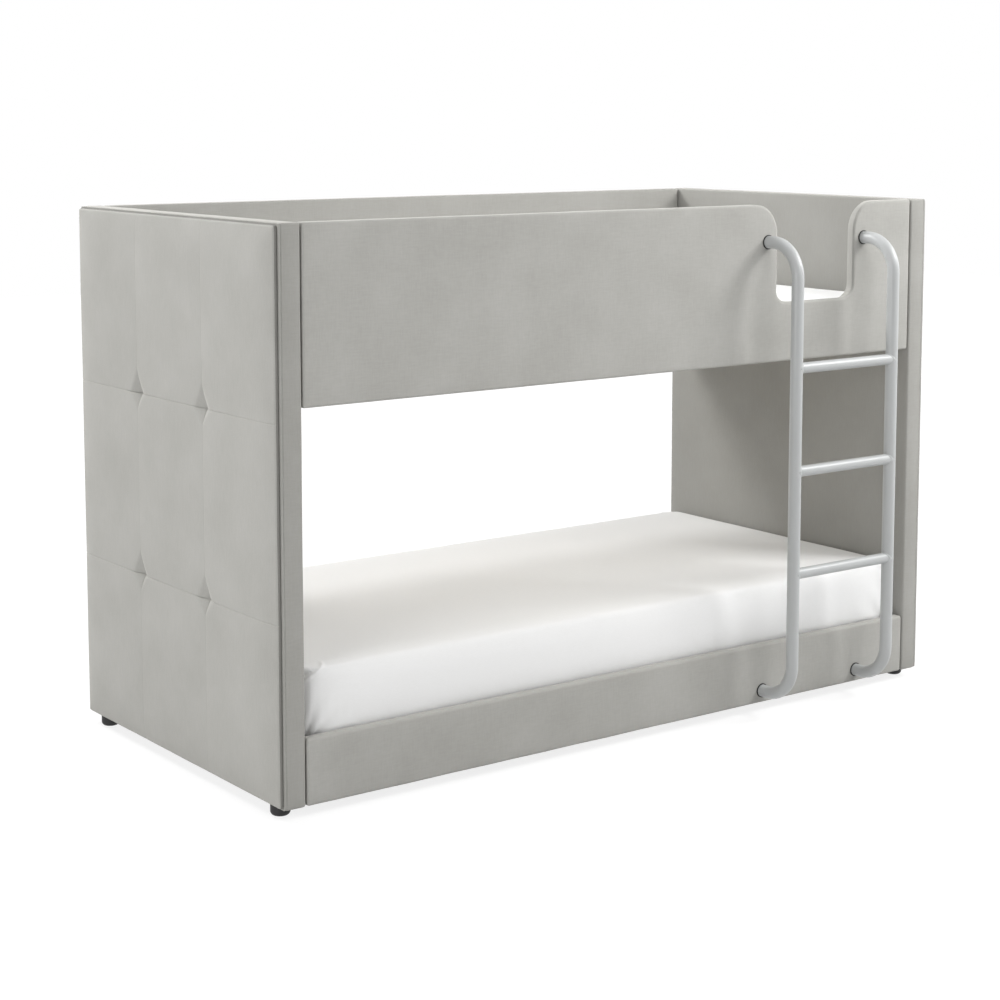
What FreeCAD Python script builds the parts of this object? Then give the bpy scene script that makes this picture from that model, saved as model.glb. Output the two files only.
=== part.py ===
"""Upholstered bunk bed for two single mattresses, with a bent-tube ladder.

All lengths are millimetres. The floor is Z = 0, +X runs along the bed towards the ladder end,
and -Y is the ladder side. The origin lies on the floor under the middle of the whole bed, ladder
included. Pieces are placed in bed coordinates: x and y from the middle of the bed, z from the
underside of the end panels.
"""
import FreeCAD, Part
import math
import os
import re
import Sketcher

DOC = FreeCAD.newDocument("UpholsteredBunkBed")

# Driving sizes, one cell each
SIZES = {
    # Mattresses and the room round them
    "mattress_length": 1900,
    "mattress_width": 900,
    "mattress_end_clearance": 11,
    "mattress_side_clearance": 10,
    "mattress_corner_radius": 55,
    "mattress_shoulder_height": 20,
    "mattress_shoulder_inset": 12,
    "mattress_waist": 4,
    "mattress_crown": 9,
    "mattress_rest_gap": 0.3,
    "lower_mattress_thickness": 175,
    "upper_mattress_thickness": 96,
    "lower_mattress_sink": 30,
    # End panels: wrapped timber body, backing board and tufted pad
    "panel_height": 1306,
    "panel_corner_radius": 5,
    "end_body_thickness": 50,
    "end_skin_thickness": 4,
    "end_edge_radius": 6,
    "end_seam_radius": 3,
    "stile_width": 90,
    "cross_rail_height": 90,
    "cross_rail_count": 4,
    "pad_board_thickness": 5,
    "pad_board_inset": 1,
    "pad_inset": 6,
    "pad_seam_thickness": 9,
    "pad_crown": 5,
    "pad_seam_rise": 1,
    "pad_edge_rise": 2,
    "pad_edge_radius": 8,
    "tuft_mouth_radius": 64,
    "tuft_floor_radius": 4,
    "tuft_depth": 7.5,
    "tuft_hole_diameter": 16,
    # Feet
    "foot_height": 26,
    "foot_diameter": 46,
    "foot_sole_radius": 10,
    "foot_setback": 60,
    "foot_stud_diameter": 8,
    "foot_stud_length": 45,
    "foot_stud_socket": 16,
    # Padded rails and guards
    "rail_thickness": 28,
    "rail_skin_thickness": 3,
    "rail_end_gap": 6,
    "rail_edge_radius": 8,
    "rail_corner_radius": 6,
    "rail_height": 155,
    "guard_height": 408,
    "cutout_margin": 33.5,
    "cutout_depth": 255,
    "cutout_shoulder_radius": 78,
    "cutout_floor_radius": 35,
    # Slatted bases
    "bearer_width": 25,
    "upper_bearer_height": 22,
    "lower_bearer_height": 25,
    "bearer_rise": 2,
    "bearer_end_clearance": 4,
    "slat_width": 70,
    "slat_thickness": 15,
    "slat_edge_radius": 4,
    "slat_end_margin": 55,
    "slat_side_clearance": 2,
    "slat_count": 13,
    # Corner brackets and their bolts
    "bracket_leg": 45,
    "bracket_height": 70,
    "bracket_thickness": 3,
    "bracket_corner_radius": 1.5,
    "bracket_clearance": 6,
    "bracket_bolt_offset": 27,
    "bracket_bolt_spacing": 40,
    "bracket_bolt_diameter": 6,
    "bracket_bolt_head_diameter": 13,
    "bracket_bolt_head_height": 4,
    "bracket_bolt_length": 24,
    # Ladder
    "ladder_from_foot_end": 357,
    "ladder_standoff": 110,
    "ladder_bend_radius": 88,
    "ladder_top_drop": 96,
    "ladder_bottom_rise": 33,
    "stringer_diameter": 32,
    "stringer_spacing": 347,
    "tube_wall": 1.5,
    "rung_diameter": 28,
    "rung_pitch": 266,
    "rung_offset": 7,
    "weld_gap": 0.2,
    "ladder_washer_diameter": 37,
    "ladder_washer_thickness": 2,
    "ladder_plug_length": 25,
    "ladder_bolt_diameter": 8,
    "ladder_bolt_head_diameter": 18,
    "ladder_bolt_head_height": 5,
    "ladder_bolt_length": 50,
    # Fits and tool travel
    "fit_clearance": 0.3,
    "overrun": 8,
}

# Heights of the two rows of tufts, as shares of the panel height
TUFT_ROW_SHARES = (0.322, 0.664)
# How far in from the edge the mattress crown reaches, as shares of the mattress width
CROWN_INSET_SHARES = (0.1, 0.28)
# How much of a dome head's height its rounding takes
HEAD_ROUND_SHARE = 0.75
# How much of the crown is reached there, as shares of the crown
CROWN_RISE_SHARES = (0.6, 1)

# Two points closer than this, in millimetres, are the same point
SAME_POINT = 1e-4
UP = FreeCAD.Vector(0, 0, 1)
AXES = {"X": 0, "Y": 1, "Z": 2}
ENDS = {"left": -1, "right": 1}
SIDES = {"front": -1, "rear": 1}

# Lengths that several pieces share
INNER_LENGTH = "(mattress_length + 2 * mattress_end_clearance)"
INNER_WIDTH = "(mattress_width + 2 * mattress_side_clearance)"
PANEL_DEPTH = f"({INNER_WIDTH} + 2 * rail_thickness)"
BED_CENTRE_Y = "(ladder_standoff + stringer_diameter / 2) / 2"
PAD_BACK = "(end_body_thickness + pad_board_thickness)"
TUFT_OFFSET = f"({PANEL_DEPTH} / 6)"
TUFT_ROWS = [f"{share} * panel_height" for share in TUFT_ROW_SHARES]
TUFT_SPOTS = [(f"{side} * {TUFT_OFFSET}", row) for row in TUFT_ROWS for side in SIDES.values()]
LADDER_X = f"({INNER_LENGTH} / 2 - ladder_from_foot_end)"
LADDER_TOP = "(panel_height - ladder_top_drop)"
RUNG_MIDDLE = f"(({LADDER_TOP} + ladder_bottom_rise) / 2 + rung_offset)"
UPPER_BEARER_BASE = "(panel_height - guard_height + bearer_rise)"
UPPER_SLAT_TOP = f"({UPPER_BEARER_BASE} + upper_bearer_height + slat_thickness)"
LOWER_SLAT_TOP = "(rail_height - lower_mattress_sink)"
LOWER_BEARER_BASE = f"({LOWER_SLAT_TOP} - slat_thickness - lower_bearer_height)"

SUBPARTS = []


def make_sheet():
    """Put the driving sizes in a spreadsheet, each under its own name."""
    sheet = DOC.addObject("Spreadsheet::Sheet", "Sizes")
    for row, (name, value) in enumerate(SIZES.items(), 1):
        sheet.set(f"A{row}", name)
        sheet.set(f"B{row}", str(value))
        sheet.setAlias(f"B{row}", name)
    DOC.recompute()
    return sheet


SHEET = make_sheet()


def on_sheet(text):
    """Point every size name in an expression at its cell."""
    return re.sub(r"(?<![\w.])[a-z][a-z_]+", r"Sizes.\g<0>", text)


def number(text):
    """Work out an expression with the sizes as they are."""
    return float(SHEET.evalExpression(on_sheet(text)))


def bind(item, **properties):
    """Tie properties of an object to expressions on the sheet."""
    for name, text in properties.items():
        item.setExpression(name, on_sheet(text))


def place(item, x="0", y="0", z="0", turn=FreeCAD.Rotation()):
    """Stand an object at a point in bed coordinates, turned by a rotation."""
    item.Placement = FreeCAD.Placement(FreeCAD.Vector(), turn)
    item.setExpression("Placement.Base.x", on_sheet(x))
    item.setExpression("Placement.Base.y", on_sheet(f"{BED_CENTRE_Y} + {y}"))
    item.setExpression("Placement.Base.z", on_sheet(f"foot_height + {z}"))


def subpart(item, label):
    """Name an object as a finished piece of the bed."""
    item.Label = label
    SUBPARTS.append(item)


# Sketches


def new_body(name):
    """Start a body that may hold several separate solids."""
    body = DOC.addObject("PartDesign::Body", name)
    body.AllowCompound = True
    return body


def sketch_on(body, name, plane, offset="0"):
    """Start a sketch on one of the body's own planes, moved along its normal."""
    sketch = body.newObject("Sketcher::SketchObject", name)
    support = next(item for item in body.Origin.OriginFeatures if item.Role == plane)
    sketch.AttachmentSupport = (support, [""])
    sketch.MapMode = "FlatFace"
    sketch.setExpression("AttachmentOffset.Base.z", on_sheet(offset))
    return sketch


def hold(sketch, kind, text, *ends):
    """Add a dimension to a sketch and tie it to the sheet."""
    index = sketch.addConstraint(Sketcher.Constraint(kind, *ends, number(text)))
    sketch.setExpression(f"Constraints[{index}]", on_sheet(text))


def hold_point(sketch, piece, end, x=None, y=None):
    """Fix one or both coordinates of the end of a line or arc."""
    for kind, axis, text in (("DistanceX", -2, x), ("DistanceY", -1, y)):
        if text == "0":
            sketch.addConstraint(Sketcher.Constraint("PointOnObject", piece, end, axis))
        elif text is not None:
            hold(sketch, kind, text, -1, 1, piece, end)


def arc_of(centre, radius, first, last):
    """Give the counter-clockwise arc about a centre from one point to another."""
    angles = [math.atan2(point.y - centre.y, point.x - centre.x) for point in (first, last)]
    if angles[1] < angles[0]:
        angles[1] += math.tau
    return Part.ArcOfCircle(Part.Circle(centre, UP, radius), *angles)


def outline(sketch, corners, closed=True):
    """Draw level and upright lines through corners, rounded where a corner has a radius.

    Each corner is (x, y, radius), as expressions, with None for a sharp corner. An open line
    starts and ends with a sharp one.
    """
    spots = [FreeCAD.Vector(number(x), number(y), 0) for x, y, _ in corners]
    radii = [number(radius) if radius else 0 for _, _, radius in corners]
    count = len(corners) if closed else len(corners) - 1
    lines = []
    for index in range(count):
        after = (index + 1) % len(corners)
        way = (spots[after] - spots[index]).normalize()
        start = spots[index] + way * radii[index]
        end = spots[after] - way * radii[after]
        line = sketch.addGeometry(Part.LineSegment(start, end))
        level = abs(way.y) < SAME_POINT
        sketch.addConstraint(Sketcher.Constraint("Horizontal" if level else "Vertical", line))
        x, y, _ = corners[index]
        hold_point(sketch, line, 1, **({"y": y} if level else {"x": x}))
        lines.append((line, way))
    for index in range(0 if closed else 1, count):
        before, way_in = lines[index - 1]
        after, way_out = lines[index]
        if not radii[index]:
            sketch.addConstraint(Sketcher.Constraint("Coincident", before, 2, after, 1))
            continue
        leave = spots[index] - way_in * radii[index]
        join = spots[index] + way_out * radii[index]
        centre = leave + way_out * radii[index]
        turns_left = way_in.cross(way_out).z > 0
        first, last = (leave, join) if turns_left else (join, leave)
        arc = sketch.addGeometry(arc_of(centre, radii[index], first, last))
        leave_end, join_end = (1, 2) if turns_left else (2, 1)
        sketch.addConstraint(Sketcher.Constraint("Tangent", before, 2, arc, leave_end))
        sketch.addConstraint(Sketcher.Constraint("Tangent", arc, join_end, after, 1))
        hold(sketch, "Radius", corners[index][2], arc)
    if not closed:
        for line, end, (x, y, _) in ((lines[0], 1, corners[0]), (lines[-1], 2, corners[-1])):
            level = abs(line[1].y) < SAME_POINT
            hold_point(sketch, line[0], end, **({"x": x} if level else {"y": y}))
    return len(sketch.Geometry)


def rectangle(sketch, left, right, bottom, top, radius=None):
    """Draw a rectangle, with all four corners rounded alike."""
    spots = ((left, bottom), (right, bottom), (right, top), (left, top))
    outline(sketch, [(x, y, radius) for x, y in spots])


def circle(sketch, diameter, x="0", y="0"):
    """Draw a circle of a given diameter."""
    centre = FreeCAD.Vector(number(x), number(y), 0)
    ring = sketch.addGeometry(Part.Circle(centre, UP, number(diameter) / 2))
    hold_point(sketch, ring, 3, x, y)
    hold(sketch, "Diameter", diameter, ring)


# Features


def pad(body, sketch, length, reverse=False, both=False):
    """Extrude a sketch along its normal, against it, or half each way."""
    feature = body.newObject("PartDesign::Pad", f"{sketch.Name}_pad")
    feature.Profile = sketch
    feature.Reversed = reverse
    feature.SideType = "Symmetric" if both else "One side"
    bind(feature, Length=length)
    return feature


def pocket(body, sketch, length):
    """Cut a sketch into the body against the sketch's normal."""
    feature = body.newObject("PartDesign::Pocket", f"{sketch.Name}_pocket")
    feature.Profile = sketch
    bind(feature, Length=length)
    return feature


def revolve(body, sketch, axis):
    """Turn a sketch once round one of its own axes."""
    feature = body.newObject("PartDesign::Revolution", f"{sketch.Name}_turned")
    feature.Profile = sketch
    feature.ReferenceAxis = (sketch, [axis])
    feature.Angle = 360
    return feature


def repeat(body, feature, axis, length, count):
    """Repeat a feature evenly over a length."""
    pattern = body.newObject("PartDesign::LinearPattern", f"{feature.Name}_row")
    pattern.Originals = [feature]
    pattern.Direction = (next(item for item in body.Origin.OriginFeatures if item.Role == axis), [""])
    bind(pattern, Length=length, Occurrences=count)
    body.Tip = pattern
    return pattern


def loft(body, sections):
    """Skin a smooth solid over a stack of sketches."""
    feature = body.newObject("PartDesign::AdditiveLoft", f"{sections[0].Name}_loft")
    feature.Profile = sections[0]
    feature.Sections = sections[1:]
    return feature


def in_plane(axis, text):
    """Give a test for edges that lie in the plane where a coordinate has one value."""
    level = number(text)
    return lambda edge: all(abs(v.Point[AXES[axis]] - level) < SAME_POINT for v in edge.Vertexes)


def round_edges(body, base, radius, chosen):
    """Round those edges of a feature that a test picks out."""
    DOC.recompute()
    names = [f"Edge{i}" for i, edge in enumerate(base.Shape.Edges, 1) if chosen(edge)]
    feature = body.newObject("PartDesign::Fillet", f"{base.Name}_rounded")
    feature.Base = (base, names)
    bind(feature, Radius=radius)
    return feature


def combine(kind, name, base, tool):
    """Make a boolean of two objects."""
    feature = DOC.addObject(f"Part::{kind}", name)
    feature.Base = base
    feature.Tool = tool
    return feature


def group(name, members):
    """Gather separate solids under one name."""
    feature = DOC.addObject("Part::Compound", name)
    feature.Links = members
    return feature


def copy_of(master, name, spot, turn):
    """Stand a linked copy of a finished body at a spot."""
    link = DOC.addObject("App::Link", name)
    link.LinkedObject = master
    place(link, *spot, turn)
    return link


# Fasteners: where each one goes, the hole it needs and the piece itself


def bracket_base(level):
    """Height of a corner bracket: just above the upper slats, or just above the lower rail's edge."""
    return f"({UPPER_SLAT_TOP} + bracket_clearance)" if level == "upper" else "bracket_clearance"


def bracket_bolt_seats(level):
    """List where the bolts of one level's four brackets sit, and which way each one points."""
    seats = []
    for x_sign in ENDS.values():
        for y_sign in SIDES.values():
            for step in ("-", "+"):
                z = f"{bracket_base(level)} + bracket_height / 2 {step} bracket_bolt_spacing / 2"
                for to_rail in (True, False):
                    x_in = "bracket_bolt_offset" if to_rail else "bracket_thickness"
                    y_in = "bracket_thickness" if to_rail else "bracket_bolt_offset"
                    x = f"{x_sign} * ({INNER_LENGTH} / 2 - {x_in})"
                    y = f"{y_sign} * ({INNER_WIDTH} / 2 - {y_in})"
                    way = FreeCAD.Vector(0, y_sign, 0) if to_rail else FreeCAD.Vector(x_sign, 0, 0)
                    seats.append(((x, y, z), way))
    return seats


def ladder_ends():
    """List the four points where the ladder tubes meet the padded boards, in x and z."""
    sides = [f"{LADDER_X} {sign} stringer_spacing / 2" for sign in ("-", "+")]
    return [(x, z) for x in sides for z in (LADDER_TOP, "ladder_bottom_rise")]


def foot_spots():
    """List the four feet by name, each with its x and y under the end panels."""
    thickness = f"({PAD_BACK} + pad_seam_thickness)"
    spots = {}
    for end, x_sign in ENDS.items():
        for side, y_sign in SIDES.items():
            x = f"{x_sign} * ({INNER_LENGTH} / 2 + {thickness} / 2)"
            y = f"{y_sign} * ({PANEL_DEPTH} / 2 - foot_setback)"
            spots[f"{side}_{end}"] = (x, y)
    return spots


def drill(name, diameter, length, spot, way):
    """Make a round cutter that runs from a spot along a direction."""
    tool = DOC.addObject("Part::Cylinder", name)
    bind(tool, Radius=f"{diameter} / 2 + fit_clearance", Height=length)
    place(tool, *spot, FreeCAD.Rotation(UP, way))
    return tool


def make_holes():
    """Gather the cutters for every fastener in the frame."""
    cutters = []
    for level in ("upper", "lower"):
        for (x, y, z), way in bracket_bolt_seats(level):
            back = f"- {int(way.x)} * overrun", f"- {int(way.y)} * overrun"
            spot = (f"{x} {back[0]}", f"{y} {back[1]}", z)
            length = "bracket_bolt_length + fit_clearance + overrun"
            cutters.append(drill("bracket_hole", "bracket_bolt_diameter", length, spot, way))
    for x, z in ladder_ends():
        spot = (x, f"-{PANEL_DEPTH} / 2 - overrun", z)
        length = "rail_thickness + 2 * overrun"
        cutters.append(drill("ladder_hole", "ladder_bolt_diameter", length, spot, FreeCAD.Vector(0, 1, 0)))
    for x, y in foot_spots().values():
        length = "foot_stud_length - foot_stud_socket + fit_clearance + overrun"
        cutters.append(drill("foot_hole", "foot_stud_diameter", length, (x, y, "-overrun"), UP))
    return group("fastener_holes", cutters)


HOLES = make_holes()


def drilled(item, label):
    """Cut the fastener holes in a piece and name it."""
    subpart(combine("Cut", f"{label}_drilled", item, HOLES), label)


def bolt_master(name, prefix):
    """Turn a dome-headed bolt that points down, with the underside of its head at zero."""
    body = new_body(name)
    sketch = sketch_on(body, f"{name}_profile", "XZ_Plane")
    head, shank = f"{prefix}_head_diameter / 2", f"{prefix}_diameter / 2"
    rise = f"{prefix}_head_height"
    outline(sketch, [
        ("0", f"-{prefix}_length", None),
        (shank, f"-{prefix}_length", None),
        (shank, "0", None),
        (head, "0", None),
        (head, rise, f"{HEAD_ROUND_SHARE} * {rise}"),
        ("0", rise, None),
    ])
    revolve(body, sketch, "V_Axis")
    return body


def ring_master(name, outer, bore, length):
    """Extrude a round ring upwards from zero."""
    body = new_body(name)
    sketch = sketch_on(body, f"{name}_profile", "XY_Plane")
    circle(sketch, outer)
    circle(sketch, bore)
    pad(body, sketch, length)
    return body


def copies(label, master, seats):
    """Put a copy of a master at every seat, pointing its underside along the seat's direction."""
    links = []
    for spot, way in seats:
        links.append(copy_of(master, f"{label}_copy", spot, FreeCAD.Rotation(-UP, way)))
    subpart(group(label, links), label)


# End panels


def end_panel(end, sign):
    """Build one end: hollow wrapped shell, timber frame inside it, holed board and tufted pad."""
    turn = FreeCAD.Rotation(UP, 0 if sign > 0 else 180)
    face = f"{sign} * {INNER_LENGTH} / 2"
    half = f"{PANEL_DEPTH} / 2"

    shell = new_body(f"{end}_shell")
    sketch = sketch_on(shell, f"{end}_shell_outline", "YZ_Plane")
    rectangle(sketch, f"-{half}", half, "0", "panel_height", "panel_corner_radius")
    solid = pad(shell, sketch, "end_body_thickness")
    solid = round_edges(shell, solid, "end_edge_radius", in_plane("X", "0"))
    round_edges(shell, solid, "end_seam_radius", in_plane("X", "end_body_thickness"))
    hollow = sketch_on(shell, f"{end}_shell_hollow", "YZ_Plane", "end_body_thickness")
    inner = f"{half} - end_skin_thickness"
    top = "panel_height - end_skin_thickness"
    rectangle(hollow, f"-({inner})", inner, "end_skin_thickness", top)
    pocket(shell, hollow, "end_body_thickness - end_skin_thickness")
    place(shell, x=face, turn=turn)
    drilled(shell, f"{end}_end_shell")

    depth = "end_body_thickness - end_skin_thickness"
    stiles = new_body(f"{end}_stiles")
    sketch = sketch_on(stiles, f"{end}_stile_outlines", "YZ_Plane", "end_skin_thickness")
    rectangle(sketch, f"-({inner})", f"-({inner} - stile_width)", "end_skin_thickness", top)
    rectangle(sketch, f"{inner} - stile_width", inner, "end_skin_thickness", top)
    pad(stiles, sketch, depth)
    place(stiles, x=face, turn=turn)
    drilled(stiles, f"{end}_end_stiles")

    rails = new_body(f"{end}_cross_rails")
    sketch = sketch_on(rails, f"{end}_cross_rail_outline", "YZ_Plane", "end_skin_thickness")
    reach = f"{inner} - stile_width"
    rectangle(sketch, f"-({reach})", reach, "end_skin_thickness", "end_skin_thickness + cross_rail_height")
    bar = pad(rails, sketch, depth)
    travel = "panel_height - 2 * end_skin_thickness - cross_rail_height"
    repeat(rails, bar, "Z_Axis", travel, "cross_rail_count")
    place(rails, x=face, turn=turn)
    subpart(rails, f"{end}_end_cross_rails")

    board = new_body(f"{end}_board")
    sketch = sketch_on(board, f"{end}_board_outline", "YZ_Plane", "end_body_thickness")
    edge, rim = f"{half} - pad_board_inset", "panel_height - pad_board_inset"
    rectangle(sketch, f"-({edge})", edge, "pad_board_inset", rim, "panel_corner_radius")
    for y, z in TUFT_SPOTS:
        circle(sketch, "tuft_hole_diameter", y, z)
    pad(board, sketch, "pad_board_thickness")
    place(board, x=face, turn=turn)
    subpart(board, f"{end}_pad_board")

    tufted_pad(end, sign, face, turn)


def pad_section(body, name, z, rise):
    """Draw the pad's level section: a flat back and three pillows that swell between the seams."""
    sketch = sketch_on(body, name, "XY_Plane", z)
    edge = f"({PANEL_DEPTH} / 2 - pad_inset)"
    face = f"{PAD_BACK} + pad_seam_thickness"
    ys = (f"-{edge}", f"-{TUFT_OFFSET}", TUFT_OFFSET, edge)
    lows = [FreeCAD.Vector(number(PAD_BACK), number(ys[i]), 0) for i in (0, 3)]
    highs = [FreeCAD.Vector(number(face), number(y), 0) for y in ys]
    back = sketch.addGeometry(Part.LineSegment(lows[1], lows[0]))
    near = sketch.addGeometry(Part.LineSegment(lows[0], highs[0]))
    far = sketch.addGeometry(Part.LineSegment(highs[3], lows[1]))
    hold_point(sketch, back, 2, PAD_BACK, ys[0])
    hold_point(sketch, back, 1, PAD_BACK, ys[3])
    sketch.addConstraint(Sketcher.Constraint("Coincident", back, 2, near, 1))
    sketch.addConstraint(Sketcher.Constraint("Coincident", far, 2, back, 1))
    hold_point(sketch, near, 2, face, ys[0])
    hold_point(sketch, far, 1, face, ys[3])
    outer_chord, middle_chord = f"({edge} - {TUFT_OFFSET})", f"(2 * {TUFT_OFFSET})"
    before = near
    for index, chord in enumerate((outer_chord, middle_chord, outer_chord)):
        radius = f"({chord} * {chord} / 4 + {rise} * {rise}) / (2 * {rise})"
        middle = (highs[index] + highs[index + 1]) / 2
        centre = middle + FreeCAD.Vector(number(rise) - number(radius), 0, 0)
        arc = sketch.addGeometry(arc_of(centre, number(radius), highs[index], highs[index + 1]))
        sketch.addConstraint(Sketcher.Constraint("Coincident", before, 2, arc, 1))
        if index < 2:
            hold_point(sketch, arc, 2, face, ys[index + 1])
        else:
            sketch.addConstraint(Sketcher.Constraint("Coincident", arc, 2, far, 1))
        hold(sketch, "Radius", radius, arc)
        before = arc
    return sketch


def tuft_cutter(name):
    """Turn the flared hollow that a tuft pulls into the pad, about the pad's normal."""
    body = new_body(name)
    sketch = sketch_on(body, f"{name}_profile", "XY_Plane")
    drop = "(pad_crown + tuft_depth)"
    run = "(tuft_mouth_radius - tuft_floor_radius)"
    radius = f"({run} * {run} + {drop} * {drop}) / (2 * {drop})"
    spots = [
        ("-tuft_depth", "0"),
        ("pad_crown + overrun", "0"),
        ("pad_crown + overrun", "tuft_mouth_radius"),
        ("pad_crown", "tuft_mouth_radius"),
        ("-tuft_depth", "tuft_floor_radius"),
    ]
    points = [FreeCAD.Vector(number(x), number(y), 0) for x, y in spots]
    edges = [Part.LineSegment(points[i], points[i + 1]) for i in range(3)]
    centre = points[3] - FreeCAD.Vector(number(radius), 0, 0)
    edges.append(arc_of(centre, number(radius), points[4], points[3]))
    edges.append(Part.LineSegment(points[4], points[0]))
    axis, rise, mouth, flare, floor = (sketch.addGeometry(edge) for edge in edges)
    for before, after in ((axis, rise), (rise, mouth), (floor, axis)):
        sketch.addConstraint(Sketcher.Constraint("Coincident", before, 2, after, 1))
    sketch.addConstraint(Sketcher.Constraint("Coincident", mouth, 2, flare, 2))
    sketch.addConstraint(Sketcher.Constraint("Coincident", flare, 1, floor, 1))
    for line, (x, y) in zip((axis, rise, mouth), spots):
        hold_point(sketch, line, 1, x, y)
    hold_point(sketch, mouth, 2, *spots[3])
    hold_point(sketch, floor, 1, *spots[4])
    hold(sketch, "Radius", radius, flare)
    revolve(body, sketch, "H_Axis")
    return body


def tufted_pad(end, sign, face, turn):
    """Build the outer pad: three rows of pillows, rounded at the rim and drawn in at four tufts."""
    levels = ["pad_inset", *TUFT_ROWS, "panel_height - pad_inset"]
    rises = ("pad_edge_rise", "pad_seam_rise", "pad_seam_rise", "pad_edge_rise")
    pillows = new_body(f"{end}_pillows")
    for index in range(len(levels) - 1):
        low, high = levels[index], levels[index + 1]
        stations = ((low, rises[index]), (f"({low} + {high}) / 2", "pad_crown"), (high, rises[index + 1]))
        names = [f"{end}_pillow_{index}_{place_name}" for place_name in ("low", "middle", "high")]
        loft(pillows, [pad_section(pillows, name, *station) for name, station in zip(names, stations)])
    place(pillows, x=face, turn=turn)

    rim = new_body(f"{end}_pad_rim")
    sketch = sketch_on(rim, f"{end}_pad_rim_outline", "YZ_Plane", PAD_BACK)
    edge = f"{PANEL_DEPTH} / 2 - pad_inset"
    rectangle(sketch, f"-({edge})", edge, "pad_inset", "panel_height - pad_inset", "panel_corner_radius")
    fullness = "pad_seam_thickness + pad_crown"
    block = pad(rim, sketch, fullness)
    round_edges(rim, block, "pad_edge_radius", in_plane("X", f"{PAD_BACK} + {fullness}"))
    place(rim, x=face, turn=turn)

    master = tuft_cutter(f"{end}_tuft_cutter")
    depth = f"{sign} * ({INNER_LENGTH} / 2 + {PAD_BACK} + pad_seam_thickness)"
    tufts = [copy_of(master, f"{end}_tuft", (depth, y, z), turn) for y, z in TUFT_SPOTS]
    trimmed = combine("Common", f"{end}_pillows_trimmed", pillows, rim)
    label = f"{end}_tufted_pad"
    subpart(combine("Cut", label, trimmed, group(f"{end}_tufts", tufts)), label)


# Padded rails and guards


def rail_corners(bottom, top):
    """Give the outline of a plain padded board, drawn in by an inset."""

    def corners(inset):
        half = f"({INNER_LENGTH} / 2 - rail_end_gap - {inset})"
        low, high = f"{bottom} + {inset}", f"{top} - {inset}"
        radius = f"rail_corner_radius - {inset}"
        spots = ((f"-{half}", low), (half, low), (half, high), (f"-{half}", high))
        return [(x, z, radius) for x, z in spots]

    return corners


def cutout_corners(inset):
    """Give the front guard's outline, with the climbing-in cut-out in its top edge."""
    whole = rail_corners("panel_height - guard_height", "panel_height")
    low_left, low_right, high_right, high_left = whole(inset)
    half = f"(stringer_spacing / 2 - cutout_margin + {inset})"
    left, right = f"{LADDER_X} - {half}", f"{LADDER_X} + {half}"
    top = high_right[1]
    floor = f"panel_height - cutout_depth - {inset}"
    shoulder = f"cutout_shoulder_radius - {inset}"
    hollow = f"cutout_floor_radius + {inset}"
    notch = [(right, top, shoulder), (right, floor, hollow), (left, floor, hollow), (left, top, shoulder)]
    return [low_left, low_right, high_right, *notch, high_left]


def padded_rail(label, sign, corners):
    """Build a padded board: a timber core in a fabric cover that leaves it a small clearance."""
    parts = {}
    for part, inset in (
        ("cover", "0"),
        ("cavity", "(rail_skin_thickness - fit_clearance)"),
        ("core", "rail_skin_thickness"),
    ):
        name = f"{label}_{part}_solid"
        body = new_body(name)
        plane = f"{-sign} * ({PANEL_DEPTH} / 2 - {inset})"
        sketch = sketch_on(body, f"{name}_outline", "XZ_Plane", plane)
        outline(sketch, corners(inset))
        solid = pad(body, sketch, f"rail_thickness - 2 * {inset}", reverse=sign < 0)
        outer = in_plane("Y", f"{sign} * ({PANEL_DEPTH} / 2 - {inset})")
        inner = in_plane("Y", f"{sign} * ({INNER_WIDTH} / 2 + {inset})")
        round_edges(body, solid, f"rail_edge_radius - {inset}", lambda edge: outer(edge) or inner(edge))
        place(body)
        parts[part] = body
    cover = combine("Cut", f"{label}_cover_hollow", parts["cover"], parts["cavity"])
    drilled(cover, f"{label}_cover")
    drilled(parts["core"], f"{label}_core")


# Slatted bases


def slatted_base(level, bearer_base, bearer_height):
    """Build the two bearers of one bunk and the row of slats across them."""
    for side, sign in SIDES.items():
        body = new_body(f"{level}_{side}_bearer_body")
        sketch = sketch_on(body, f"{level}_{side}_bearer_profile", "YZ_Plane")
        against, free = f"{sign} * {INNER_WIDTH} / 2", f"{sign} * ({INNER_WIDTH} / 2 - bearer_width)"
        left, right = (against, free) if sign < 0 else (free, against)
        rectangle(sketch, left, right, bearer_base, f"{bearer_base} + {bearer_height}")
        pad(body, sketch, f"{INNER_LENGTH} - 2 * (bracket_leg + bearer_end_clearance)", both=True)
        place(body)
        subpart(body, f"{level}_{side}_slat_bearer")

    slats = new_body(f"{level}_slat_row")
    sketch = sketch_on(slats, f"{level}_slat_profile", "XZ_Plane")
    first = f"slat_end_margin - {INNER_LENGTH} / 2"
    base = f"{bearer_base} + {bearer_height}"
    rectangle(sketch, first, f"{first} + slat_width", base, f"{base} + slat_thickness", "slat_edge_radius")
    board = pad(slats, sketch, f"{INNER_WIDTH} - 2 * slat_side_clearance", both=True)
    repeat(slats, board, "X_Axis", f"{INNER_LENGTH} - 2 * slat_end_margin - slat_width", "slat_count")
    place(slats)
    subpart(slats, f"{level}_slats")


# Corner brackets


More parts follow.
